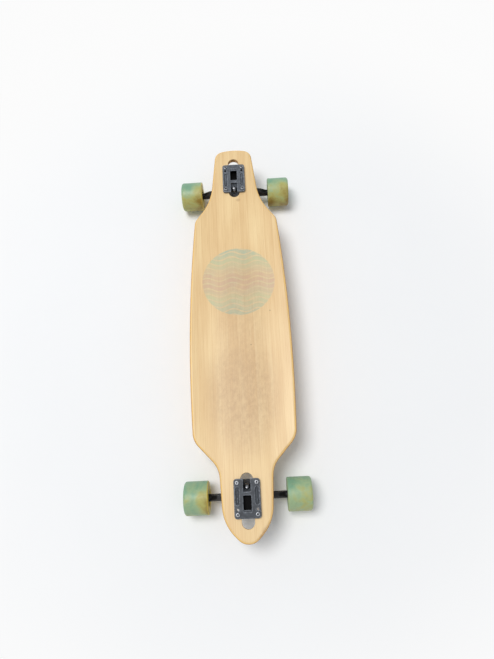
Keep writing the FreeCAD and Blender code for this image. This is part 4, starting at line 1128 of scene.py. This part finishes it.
class Finishes:
    """Every finish of the board, made once."""

    def __init__(self, effects: Effects) -> None:
        """Make each material.

        Args:
            effects: The shared effects.
        """
        self.top = VeneerFinish("top_veneer", Slot.VENEER, VeneerTones(), effects)
        self.bottom = VeneerFinish("bottom_veneer", Slot.VENEER, VeneerTones(seed=0.31, worn=False), effects)
        self.core = CoreFinish("laminated_core", Slot.CORE, CoreTones(), effects)
        # The rear baseplate is drawn darker than the front: painted shade.
        self.plate = CastFinish("gunmetal_casting", Slot.PLATE, CastTones(
            paint=tone(98, 104, 112), shade=tone(79, 83, 90), bare=tone(140, 145, 154),
            dust=Mark(tone(114, 116, 120), 0.35), rough=0.50, wear=0.60, dusty=0.24,
            rear_share=0.58), effects)
        self.hanger = CastFinish("black_casting", Slot.HANGER, CastTones(
            paint=tone(30, 30, 32), shade=tone(20, 20, 22), bare=tone(96, 96, 98),
            dust=Mark(tone(92, 88, 82), 0.35), rough=0.40, wear=0.30, dusty=0.30), effects)
        self.steel = MetalFinish("plated_steel", Slot.STEEL, MetalTones(
            bright=tone(198, 199, 202), dull=Mark(tone(140, 139, 137), 0.6), rough=0.24, drawn=0.14), effects)
        self.bolt = MetalFinish("bolt_steel", Slot.STEEL, MetalTones(
            bright=tone(136, 139, 144), dull=Mark(tone(86, 86, 89), 0.6), rough=0.24, drawn=0.12), effects)
        # The kingpin's steel is the bolt steel made darker: painted shade for the notch it sits in.
        self.kingpin = MetalFinish("dark_bolt_steel", Slot.STEEL, MetalTones(
            bright=tone(112, 114, 118), dull=Mark(tone(66, 66, 68), 0.6), rough=0.24, drawn=0.12), effects)
        self.bearing = MetalFinish("bearing_steel", Slot.BEARING, MetalTones(
            bright=tone(226, 227, 229), dull=Mark(tone(172, 172, 174), 0.6), rough=0.14, drawn=0.08), effects)
        self.tyre = TyreFinish("marbled_urethane", Slot.TYRE, MarbleTones(), effects)
        self.hub = PlasticFinish("olive_hub", Slot.HUB, PlasticTones(
            body=tone(150, 142, 74), cloud=tone(128, 122, 60), rough=0.46, soft=0.05), effects)
        self.bushing = PlasticFinish("black_urethane", Slot.BUSHING, PlasticTones(
            body=tone(38, 38, 40), cloud=tone(28, 28, 30), rough=0.34), effects)
        self.cup = PlasticFinish("black_cup", Slot.CUP, PlasticTones(
            body=tone(34, 34, 36), cloud=tone(24, 24, 26), rough=0.5), effects)
        self.collar = PlasticFinish("nylon_collar", Slot.CUP, PlasticTones(
            body=tone(222, 222, 214), cloud=tone(204, 204, 194), rough=0.42, soft=0.1), effects)


def rounded(corners: Sequence[tuple[float, float, float]], steps: int) -> Profile:
    """Round the corners of a closed outline.

    Args:
        corners: Each corner's two coordinates and its radius.
        steps: Edges in each round.

    Returns:
        Points of the rounded outline.
    """
    points: Profile = []
    for index, (u, v, radius) in enumerate(corners):
        here = Vector((u, v))
        if radius <= 0:
            points.append((u, v))
            continue
        back = (Vector(corners[index - 1][:2]) - here).normalized()
        ahead = (Vector(corners[(index + 1) % len(corners)][:2]) - here).normalized()
        half = back.angle(ahead) / 2
        centre = here + (back + ahead).normalized() * (radius / math.sin(half))
        start = here + back * (radius / math.tan(half)) - centre
        sweep = start.angle_signed(here + ahead * (radius / math.tan(half)) - centre)
        for step in range(steps + 1):
            turned = -sweep * step / steps
            points.append((centre.x + start.x * math.cos(turned) - start.y * math.sin(turned),
                           centre.y + start.x * math.sin(turned) + start.y * math.cos(turned)))
    return points


def spokes(count: int) -> np.ndarray:
    """Angles of evenly spaced points around a ring."""
    return np.linspace(0, FULL_TURN, count, endpoint=False)


def ring_at(height: float | np.ndarray, reach: float | np.ndarray, angles: np.ndarray) -> np.ndarray:
    """Points around Z at a height and a reach, either of them one for all or one for each."""
    points = np.broadcast_arrays(reach * np.cos(angles), reach * np.sin(angles), height)
    return np.stack(points, 1)


@dataclass(frozen=True)
class Thread:
    """A screw thread cut into a round surface between two heights."""

    low: float
    high: float
    pitch: float
    depth: float


def turned_rings(profile: Iterable[tuple[float, float]], around: int = 96,
                 threads: Sequence[Thread] = ()) -> list[np.ndarray]:
    """Turn a profile about Z.

    Args:
        profile: Heights and radii.
        around: Points in each ring.
        threads: Threads to cut into it.

    Returns:
        One ring of points for each point of the profile.
    """
    angles = spokes(around)
    rings = []
    for height, radius in profile:
        reach = np.full(around, radius)
        for thread in threads:
            if thread.low <= height <= thread.high:
                turn = np.mod(height / thread.pitch - angles / FULL_TURN, 1)
                reach = reach - thread.depth * np.abs(2 * turn - 1)
        rings.append(ring_at(height, reach, angles))
    return rings


def hexagon_rings(levels: Iterable[tuple[float, float]], width: float, around: int = 72) -> list[np.ndarray]:
    """Rings of a hexagon whose corners are turned down to a round limit.

    Args:
        levels: Heights, each with the largest radius allowed there.
        width: The hexagon's width across its flats.
        around: Points in each ring.

    Returns:
        One ring of points for each level.
    """
    angles = spokes(around)
    from_flat = np.mod(angles + math.pi / 6, math.pi / 3) - math.pi / 6
    hexagon = width / 2 / np.cos(from_flat)
    return [ring_at(height, np.minimum(hexagon, limit), angles) for height, limit in levels]


def loft(name: str, rings: Sequence[np.ndarray], place: Matrix, closed: bool = False) -> Mesh:
    """Skin a run of rings.

    Args:
        name: The mesh's name.
        rings: Rings of equally many points.
        place: The frame that the rings are drawn in.
        closed: Whether the last ring joins the first; otherwise both ends are capped.

    Returns:
        The mesh, with its place in its points.
    """
    around = len(rings[0])
    points = np.concatenate(rings)
    faces: list[tuple[int, ...]] = []
    for run in range(len(rings) if closed else len(rings) - 1):
        low, high = run * around, (run + 1) % len(rings) * around
        for step in range(around):
            ahead = (step + 1) % around
            faces.append((low + step, low + ahead, high + ahead, high + step))
    if not closed:
        faces.append(tuple(reversed(range(around))))
        faces.append(tuple(range(len(points) - around, len(points))))
    mesh = bpy.data.meshes.new(name)
    mesh.from_pydata([place @ Vector(point) for point in points], [], faces)
    settle(mesh)
    return mesh


def settle(mesh: Mesh) -> None:
    """Merge doubles, turn faces outwards and shade a mesh smooth between its sharp edges.

    Args:
        mesh: The mesh to settle.
    """
    work = bmesh.new()
    work.from_mesh(mesh)
    bmesh.ops.remove_doubles(work, verts=work.verts, dist=MERGE_DISTANCE)
    bmesh.ops.recalc_face_normals(work, faces=work.faces)
    work.to_mesh(mesh)
    work.free()
    mesh.polygons.foreach_set("use_smooth", [True] * len(mesh.polygons))
    mesh.set_sharp_from_angle(angle=SHARP_ANGLE)


def add_object(name: str, data: Mesh | bpy.types.Camera | bpy.types.Light) -> Object:
    """Link a mesh, a camera or a lamp into the scene as an object at the origin."""
    made = bpy.data.objects.new(name, data)
    bpy.context.scene.collection.objects.link(made)
    return made


def evaluated(source: Object) -> Mesh:
    """Take an object's mesh with its modifiers applied, and remove the object.

    Args:
        source: The object.

    Returns:
        The mesh.
    """
    graph = bpy.context.evaluated_depsgraph_get()
    mesh = bpy.data.meshes.new_from_object(source.evaluated_get(graph), depsgraph=graph)
    bpy.data.objects.remove(source)
    return mesh


def dress(nodes: Mapping[str, Object], names: Iterable[str], finish: Finish) -> None:
    """Give CAD nodes a finish.

    Args:
        nodes: The frame's nodes by name.
        names: The nodes to dress.
        finish: Their finish.
    """
    for name in names:
        for slot in nodes[name].material_slots:
            slot.material = finish.material
        LOG.info("%s: %s", name, finish.material.name)


def place_piece(name: str, mesh: Mesh, finish: Finish, stands_for: str | None, body: str | None) -> Object:
    """Finish a piece and hand it to the frame.

    Args:
        name: The piece's name.
        mesh: Its mesh, in place.
        finish: Its finish.
        stands_for: The CAD node that it replaces, if any.
        body: The body that it rides on, or None to leave it unattached.

    Returns:
        The piece.
    """
    mesh.materials.clear()
    mesh.materials.append(finish.material)
    piece = add_object(name, mesh)
    if body is not None:
        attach(piece, body)
    if stands_for is not None:
        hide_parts(stands_for)
    LOG.info("%s: %d faces on %s", name, len(mesh.polygons), body or "two bodies")
    return piece


@dataclass(frozen=True)
class Grid:
    """A grid of copies: its frame, spacings and counts, and the turn from each copy to the next."""

    frame: Matrix
    spacing_x: float
    spacing_y: float
    count_x: int
    count_y: int
    turn: float


class CopyTree:
    """A Geometry Nodes tree that repeats a template on a grid of points."""

    def __init__(self) -> None:
        """Build the tree."""
        self.tree = bpy.data.node_groups.new("copies_on_grid", "GeometryNodeTree")
        face = self.tree.interface
        for label, kind in (
                ("Geometry", "Geometry"), ("Template", "Object"), ("Spacing X", "Float"),
                ("Spacing Y", "Float"), ("Count X", "Int"), ("Count Y", "Int"), ("Turn", "Float"),
                ("Material", "Material")):
            face.new_socket(label, in_out="INPUT", socket_type=f"NodeSocket{kind}")
        face.new_socket("Geometry", in_out="OUTPUT", socket_type="NodeSocketGeometry")
        graph = Graph(self.tree)
        given = graph.node("NodeGroupInput").outputs
        grid = graph.node("GeometryNodeMeshGrid", {
            "Size X": given["Spacing X"], "Size Y": given["Spacing Y"],
            "Vertices X": given["Count X"], "Vertices Y": given["Count Y"]})
        template = graph.node("GeometryNodeObjectInfo", {"Object": given["Template"]})
        turn = graph.number("GeometryNodeInputIndex") * given["Turn"]
        copies = graph.node("GeometryNodeInstanceOnPoints", {
            "Points": grid.outputs["Mesh"], "Instance": template.outputs["Geometry"],
            "Rotation": graph.vector(0.0, 0.0, turn)})
        real = graph.node("GeometryNodeRealizeInstances", {"Geometry": copies.outputs[0]})
        coated = graph.node("GeometryNodeSetMaterial", {
            "Geometry": real.outputs[0], "Material": given["Material"]})
        graph.node("NodeGroupOutput", {"Geometry": coated.outputs[0]})
        self.sockets = {item.name: item.identifier for item in face.items_tree if item.in_out == "INPUT"}

    def copies(self, name: str, template: Mesh, finish: Finish, grid: Grid) -> Mesh:
        """Repeat a template and keep the result as a plain mesh.

        Args:
            name: The new mesh's name.
            template: The mesh to repeat.
            finish: The copies' finish.
            grid: Where the copies lie.

        Returns:
            The mesh of all copies, in place.
        """
        model = add_object(f"{name}_template", template)
        holder = add_object(name, bpy.data.meshes.new(f"{name}_holder"))
        modifier = holder.modifiers.new("copies", "NODES")
        modifier.node_group = self.tree
        for label, value in (
                ("Template", model), ("Material", finish.material), ("Spacing X", grid.spacing_x),
                ("Spacing Y", grid.spacing_y), ("Count X", grid.count_x), ("Count Y", grid.count_y),
                ("Turn", grid.turn)):
            modifier[self.sockets[label]] = value
        mesh = evaluated(holder)
        bpy.data.objects.remove(model)
        mesh.transform(grid.frame)
        settle(mesh)
        return mesh


@dataclass(frozen=True)
class Casting:
    """How a casting's corners are softened from its CAD solid, and where they count as edges."""

    voxel: float
    passes: int
    proud_at_edge: float = 0.05
    spread: int = 3

    def copy(self, source: Object) -> Mesh:
        """Copy a solid with cast, rounded corners and mark where its edges are.

        Args:
            source: The CAD node.

        Returns:
            The softened mesh.
        """
        mesh = source.data.copy()
        settle(mesh)
        work = add_object(f"{source.name}_work", mesh)
        remesh = work.modifiers.new("skin", "REMESH")
        remesh.mode = "VOXEL"
        remesh.voxel_size = self.voxel
        remesh.use_smooth_shade = True
        soften = work.modifiers.new("soften", "SMOOTH")
        soften.factor = 0.5
        soften.iterations = self.passes
        cast = evaluated(work)
        cast.polygons.foreach_set("use_smooth", [True] * len(cast.polygons))
        self._mark_edges(cast)
        return cast

    def _mark_edges(self, mesh: Mesh) -> None:
        """Store how far each point stands out from its neighbours.

        Args:
            mesh: The mesh to mark.
        """
        count = len(mesh.vertices)
        place, normal = np.empty(count * 3), np.empty(count * 3)
        mesh.vertices.foreach_get("co", place)
        mesh.vertices.foreach_get("normal", normal)
        place, normal = place.reshape(-1, 3), normal.reshape(-1, 3)
        ends = np.empty(len(mesh.edges) * 2, dtype=np.int64)
        mesh.edges.foreach_get("vertices", ends)
        first, second = ends.reshape(-1, 2).T
        total = np.bincount(first, minlength=count) + np.bincount(second, minlength=count)

        def around(values: np.ndarray) -> np.ndarray:
            """Average of each point's neighbours."""
            summed = np.bincount(first, values[second], count) + np.bincount(second, values[first], count)
            return summed / np.maximum(total, 1)

        middle = np.stack([around(place[:, axis]) for axis in range(3)], 1)
        proud = ((place - middle) * normal).sum(1) / self.voxel
        for _ in range(self.spread):
            proud = 0.5 * proud + 0.5 * around(proud)
        edge = np.clip(proud / self.proud_at_edge, 0, 1)
        mesh.attributes.new("edge", "FLOAT", "POINT").data.foreach_set("value", edge.astype(np.float32))


@dataclass
class Deck:
    """The laminated deck, kept as its CAD layers."""

    finishes: Finishes

    def build(self, nodes: Mapping[str, Object]) -> None:
        """Dress the three layers.

        Args:
            nodes: The frame's nodes by name.
        """
        dress(nodes, ["deck_top_veneer"], self.finishes.top)
        dress(nodes, ["deck_core"], self.finishes.core)
        dress(nodes, ["deck_bottom_veneer"], self.finishes.bottom)


@dataclass(frozen=True)
class LockNut:
    """A lock nut that stands on Z = 0, with a nylon collar in its end.

    Its width, height, bore and wall are in metres. Its other sizes are shares of one of those.
    """

    width: float
    height: float
    bore: float
    foot_share: float = 0.485
    foot_rise: float = 0.05
    corner_end: float = 0.66
    shoulder: float = 0.72
    crown_share: float = 0.46
    crown_taper: float = 0.3
    collar_seat: float = 0.9
    collar_sink: float = 0.3
    lip_walls: float = 2.4
    pocket_walls: float = 2.6
    wall: float = 0.00045
    collar_points: int = 72

    def meshes(self) -> tuple[Mesh, Mesh]:
        """Make the nut and its collar.

        Returns:
            The nut's mesh and the collar's.
        """
        top, bore, wall = self.height, self.bore, self.wall
        corner, crown = CORNER_SHARE * self.width, self.crown_share * self.width
        seat, collar_top = self.collar_seat * top, top - self.collar_sink * wall
        lip, pocket = crown - self.lip_walls * wall, crown - self.pocket_walls * wall
        levels = [(0, bore), (0, self.foot_share * self.width), (self.foot_rise * top, corner),
                  (self.corner_end * top, corner), (self.shoulder * top, crown),
                  (top - wall, crown - self.crown_taper * wall), (top, crown - wall), (top, lip),
                  (seat, pocket), (seat, bore)]
        ring = [(seat, bore), (seat, pocket), (collar_top, lip), (collar_top, bore + wall),
                (collar_top - wall, bore)]
        return (loft("nut", hexagon_rings(levels, self.width), Matrix(), closed=True),
                loft("collar", turned_rings(ring, self.collar_points), Matrix(), closed=True))


@dataclass
class Truck:
    """One truck: castings, kingpin stack, axle and fasteners."""

    end: End
    finishes: Finishes
    copier: CopyTree
    places: Places
    deck: DeckShape = DeckShape()
    shape: TruckShape = TruckShape()
    plate_cast: Casting = Casting(voxel=0.00062, passes=3)
    hanger_cast: Casting = Casting(voxel=0.00085, passes=9)

    def build(self, nodes: Mapping[str, Object]) -> None:
        """Build every piece of the truck.

        Args:
            nodes: The frame's nodes by name.
        """
        plate = self.plate_cast.copy(nodes[self._node("baseplate")])
        self._place("cast_baseplate", plate, self.finishes.plate, "baseplate")
        hanger = self.hanger_cast.copy(nodes[self._node("hanger")])
        self._place("cast_hanger", hanger, self.finishes.hanger, "hanger", self._node("truck"))
        self._mounting_bolts()
        self._lock_nuts()
        self._kingpin()
        self._bushings()
        self._axle()
        dress(nodes, [self._node("cup_washers"), self._node("speed_rings")], self.finishes.steel)
        dress(nodes, [self._node("pivot_cup")], self.finishes.cup)

    def _node(self, name: str) -> str:
        """The full name of one of this truck's nodes."""
        return f"{self.end.prefix}_{name}"

    def _place(self, name: str, mesh: Mesh, finish: Finish, stands_for: str | None = None,
               body: str | None = "deck") -> Object:
        """Hand over one of this truck's pieces under this end's names; it rides on the deck unless told."""
        node = None if stands_for is None else self._node(stands_for)
        return place_piece(self._node(name), mesh, finish, node, body)

    def _repeat(self, grid: Grid, name: str, template: Mesh, finish: Finish,
                stands_for: str | None = None, body: str = "deck") -> None:
        """Repeat a template on a grid and hand over the copies as one piece."""
        mesh = self.copier.copies(self._node(name), template, finish, grid)
        self._place(name, mesh, finish, stands_for, body)

    def _bolt_grid(self, frame: Matrix, turn: float) -> Grid:
        """The places of the four mounting bolts in a frame."""
        return Grid(frame, self.shape.bolt_spacing_x, self.shape.bolt_spacing_y, 2, 2, turn)

    def _threaded(self, start: float, tail: float, radius: float, bevel: float) -> tuple[Profile, Thread]:
        """The threaded end of a bolt that points down.

        Args:
            start: Where the threaded stretch begins.
            tail: Where the bolt ends.
            radius: The shank's radius.
            bevel: The size of its end's bevel.

        Returns:
            Heights and radii of the stretch, and its thread.
        """
        shape = self.shape
        turns = np.arange(start, tail + bevel, -shape.pitch / shape.pitch_steps)
        stretch = [(float(height), radius) for height in turns] + [(tail, radius - bevel)]
        return stretch, Thread(tail + bevel / 2, start - shape.thread_depth, shape.pitch, shape.thread_depth)

    def _bolt_head(self) -> list[np.ndarray]:
        """Rings of a domed head with a cross recess, from its middle to its rim.

        Returns:
            The head's rings.
        """
        shape = self.shape
        top = self.places.plate_thickness + shape.head_height
        angles = spokes(shape.bolt_points)
        long_half, thin_half = shape.drive_length / 2, shape.drive_width / 2

        def inside(offset: np.ndarray, half: float) -> np.ndarray:
            """1 within half of the middle, falling away over a thin wall."""
            return np.clip((half - np.abs(offset)) / shape.drive_wall + 0.5, 0, 1)

        rings = []
        for step in range(shape.head_steps + 1):
            reach = shape.head_radius * math.sin(math.pi / 2 * step / shape.head_steps)
            reach = max(reach, shape.head_middle)
            past = max(reach - (shape.head_radius - shape.head_round), 0)
            drop = shape.head_round - math.sqrt(max(shape.head_round ** 2 - past ** 2, 0))
            x, y = reach * np.cos(angles), reach * np.sin(angles)
            cross = np.maximum(inside(x, long_half) * inside(y, thin_half),
                               inside(x, thin_half) * inside(y, long_half))
            rings.append(ring_at(top - drop - shape.drive_depth * cross, reach, angles))
        return rings

    def _mounting_bolts(self) -> None:
        """Four domed bolts through plate and deck."""
        shape, under = self.shape, -self.deck.thickness
        plate = self.places.plate_thickness
        tail = under - shape.bolt_nut_height - shape.bolt_tail
        stretch, thread = self._threaded(under + shape.bolt_run_in, tail, shape.bolt_radius, shape.bolt_bevel)
        profile = [(plate, shape.head_radius), (plate, shape.bolt_radius), *stretch]
        rings = self._bolt_head() + turned_rings(profile, shape.bolt_points, [thread])
        grid = self._bolt_grid(self.places.truck_frame(self.end), shape.bolt_turn)
        self._repeat(grid, "bolts", loft("bolt", rings, Matrix()), self.finishes.bolt, "mounting_bolts")

    def _lock_nuts(self) -> None:
        """The four nuts under the deck, with their collars."""
        shape = self.shape
        flip = Matrix.Translation((0, 0, -self.deck.thickness)) @ Matrix.Rotation(math.pi, 4, "X")
        frame = self.places.truck_frame(self.end) @ flip
        bore = shape.bolt_radius + shape.clearance
        nut, collar = LockNut(shape.bolt_nut_width, shape.bolt_nut_height, bore).meshes()
        nut_grid, collar_grid = self._bolt_grid(frame, shape.bolt_nut_turn), self._bolt_grid(frame, 0.0)
        self._repeat(nut_grid, "lock_nuts", nut, self.finishes.steel, "mounting_nuts")
        self._repeat(collar_grid, "nut_collars", collar, self.finishes.collar)

    def _kingpin(self) -> None:
        """The kingpin bolt and its lock nut."""
        shape, frame = self.shape, self.places.steering_frame(self.end)
        width, radius, nut_seat = shape.kingpin_hex, shape.kingpin_radius, -shape.kingpin_nut_foot
        foot, top = shape.kingpin_head_foot, shape.kingpin_head_foot + shape.kingpin_head_height
        tail = nut_seat - shape.kingpin_nut_height - shape.kingpin_tail
        dome = [(top - drop, share * width) for drop, share in shape.kingpin_dome]
        head = hexagon_rings([
            (top, shape.kingpin_head_middle), *dome, (foot + shape.kingpin_head_edge, CORNER_SHARE * width),
            (foot, shape.kingpin_head_seat * width)], width)
        stretch, thread = self._threaded(nut_seat + shape.kingpin_run_in, tail, radius, shape.kingpin_bevel)
        rod = turned_rings([(foot, radius), *stretch], shape.bolt_points, [thread])
        bolt = loft("kingpin", head + rod, frame)
        self._place("kingpin_bolt", bolt, self.finishes.kingpin, "kingpin")
        nut, collar = LockNut(width, shape.kingpin_nut_height, radius + shape.clearance).meshes()
        for mesh in (nut, collar):
            mesh.transform(frame @ Matrix.Translation((0, 0, nut_seat)) @ Matrix.Rotation(math.pi, 4, "X"))
        self._place("kingpin_lock_nut", nut, self.finishes.steel, "kingpin_nut")
        self._place("kingpin_collar", collar, self.finishes.collar)

    def _bushings(self) -> None:
        """Two urethane bushings that give between washer and hanger."""
        shape, frame = self.shape, self.places.steering_frame(self.end)
        foot, top, edge = shape.bushing_foot, shape.bushing_end, shape.bushing_edge
        radius, bore = shape.bushing_radius, shape.bushing_bore
        shares = [step / shape.bushing_steps for step in range(shape.bushing_steps + 1)]
        side = [(foot + edge + (top - foot - 2 * edge) * share,
                 radius - shape.bushing_waist * math.sin(math.pi * share)) for share in shares]
        profile = [(foot, bore), (foot, radius - edge), *side, (top, radius - edge), (top, bore)]
        profile += [(height, bore) for height in np.linspace(top, foot, shape.bushing_bore_steps)[1:-1]]
        for label, way in (("boardside", 1), ("roadside", -1)):
            mirrored = [(way * height, radius) for height, radius in profile]
            mesh = loft(f"{label}_bushing", turned_rings(mirrored), frame, closed=True)
            piece = self._place(f"{label}_bushing_urethane", mesh, self.finishes.bushing,
                                f"{label}_bushing", None)
            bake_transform(piece)

    def _axle(self) -> None:
        """The axle rod with threaded ends, and the nuts on it."""
        shape, frame = self.shape, self.places.axle_frame(self.end)
        radius, body = shape.axle_radius, self._node("truck")
        start, bevelled = shape.axle_nut_foot - shape.axle_run_in, shape.axle_half - shape.axle_bevel
        turns = np.arange(start, bevelled, shape.pitch / shape.pitch_steps)
        half = [(float(height), radius) for height in turns] + [(shape.axle_half, radius - shape.axle_bevel)]
        profile = [(-height, reach) for height, reach in reversed(half)] + half
        threads = [Thread(low, high, shape.pitch, shape.thread_depth)
                   for low, high in ((start, bevelled), (-bevelled, -start))]
        lengthwise = frame @ Matrix.Rotation(math.pi / 2, 4, "Y")
        rod = loft("axle", turned_rings(profile, shape.axle_points, threads), lengthwise)
        self._place("axle_rod", rod, self.finishes.steel, "axle", body)
        nut, collar = LockNut(shape.axle_nut_width, shape.axle_nut_height, radius + shape.clearance).meshes()
        for mesh in (nut, collar):
            mesh.transform(Matrix.Rotation(-math.pi / 2, 4, "Y"))
        grid = Grid(frame, 2 * shape.axle_nut_foot, 0.0, 2, 1, math.pi)
        self._repeat(grid, "axle_lock_nuts", nut, self.finishes.steel, "axle_nuts", body)
        self._repeat(grid, "axle_collars", collar, self.finishes.collar, None, body)


@dataclass
class Wheel:
    """One wheel: its tyre, hub and bearings."""

    end: End
    side: Side
    finishes: Finishes
    places: Places
    shape: WheelShape = WheelShape()

    def build(self, nodes: Mapping[str, Object]) -> None:
        """Cast the tyre and dress what it turns on.

        Args:
            nodes: The frame's nodes by name.
        """
        shape, corner = self.shape, f"{self.end.prefix}_{self.side.prefix}"
        outline = [
            (-shape.inner, shape.inner_dish, shape.inner_bead), (-shape.inner, shape.radius, shape.inner_lip),
            (shape.outer, shape.radius, shape.outer_lip), (shape.outer, shape.groove_at + shape.groove, 0),
            (shape.outer - shape.groove, shape.groove_at, 0),
            (shape.outer, shape.groove_at - shape.groove, 0),
            (shape.outer, shape.outer_dish, shape.outer_bead), (shape.core_half, shape.core_radius, 0),
            (-shape.core_half, shape.core_radius, 0)]
        rings = turned_rings(rounded(outline, shape.lip_steps), shape.tread_points)
        tyre = loft("tyre", rings, self.places.hub_frame(self.end, self.side), closed=True)
        place_piece(f"{corner}_cast_tyre", tyre, self.finishes.tyre, f"{corner}_tyre", f"{corner}_wheel")
        dress(nodes, [f"{corner}_core"], self.finishes.hub)
        bearings = ("outer_races", "inner_races", "balls", "shields")
        dress(nodes, [f"{corner}_{name}" for name in bearings], self.finishes.bearing)
        dress(nodes, [f"{corner}_spacer"], self.finishes.steel)


@dataclass
class Studio:
    """A pale floor, soft light from the upper left, and the camera."""

    effects: Effects
    floor: FloorTones = FloorTones()
    floor_size: float = 14.0
    ambient: float = 0.42
    fill: Colour = (0.93, 0.965, 1.0)
    white: Colour = (1.0, 1.0, 1.0)
    key_from: tuple[float, float, float] = (-2.1, 1.0, 7.6)
    key_size: float = 4.0
    key_power: float = 385.0
    key_colour: Colour = (1.0, 0.985, 0.96)
    camera_at: tuple[float, float, float] = (0.0411281, -0.3801298, 1.2140736)
    camera_turn: tuple[float, float, float] = (17.922645, 2.134372, -2.569877)
    lens: float = 27.6985
    sensor: float = 36.0

    def build(self) -> None:
        """Set up floor, light, world and camera."""
        scene = bpy.context.scene
        scene.view_settings.view_transform = "Standard"
        self._floor()
        scene.world = self._world()
        self._key()
        scene.camera = self._camera()

    def _floor(self) -> None:
        """Lay the floor."""
        half = self.floor_size / 2
        corners = [(-half, -half, 0), (half, -half, 0), (half, half, 0), (-half, half, 0)]
        mesh = bpy.data.meshes.new("floor")
        mesh.from_pydata(corners, [], [(0, 1, 2, 3)])
        mesh.materials.append(FloorFinish("pale_floor", None, self.floor, self.effects).material)
        add_object("floor", mesh)

    def _world(self) -> bpy.types.World:
        """Surround the scene with pale light, and show it paler to the eye.

        Returns:
            The world.
        """
        world = bpy.data.worlds.new("studio")
        world.use_nodes = True
        world.node_tree.nodes.clear()
        graph = Graph(world.node_tree)
        seen = graph.seen()
        strength = seen * (self.floor.backdrop - self.ambient) + self.ambient
        colour = graph.mix(seen, self.fill, self.white)
        sky = graph.node("ShaderNodeBackground", {"Color": colour, "Strength": strength})
        graph.node("ShaderNodeOutputWorld", {"Surface": sky.outputs[0]})
        return world

    def _key(self) -> None:
        """Hang a large soft lamp."""
        lamp = bpy.data.lights.new("key", "AREA")
        lamp.shape = "DISK"
        lamp.size = self.key_size
        lamp.energy = self.key_power
        lamp.color = self.key_colour
        hung = add_object("key", lamp)
        hung.location = self.key_from
        hung.rotation_euler = (-Vector(self.key_from)).to_track_quat("-Z", "Y").to_euler()

    def _camera(self) -> Object:
        """Set a camera where the photograph was taken from.

        Returns:
            The camera.
        """
        camera = bpy.data.cameras.new("camera")
        camera.lens = self.lens
        camera.sensor_width = self.sensor
        camera.dof.use_dof = False
        held = add_object("camera", camera)
        held.location = self.camera_at
        held.rotation_euler = Euler([math.radians(angle) for angle in self.camera_turn], "XYZ")
        return held


def clear_scene() -> None:
    """Remove whatever Blender starts with."""
    for item in list(bpy.data.objects):
        bpy.data.objects.remove(item)


def main() -> None:
    """Build the board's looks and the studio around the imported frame."""
    logging.basicConfig(level=logging.INFO, format="%(name)s %(message)s")
    clear_scene()
    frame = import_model()
    nodes = frame["nodes"]
    places = Places.read(frame, TruckShape())
    effects = Effects(places)
    finishes = Finishes(effects)
    copier = CopyTree()
    Deck(finishes).build(nodes)
    for end in End:
        Truck(end, finishes, copier, places).build(nodes)
        for side in Side:
            Wheel(end, side, finishes, places).build(nodes)
    Studio(effects).build()


if __name__ == "__main__":
    main()
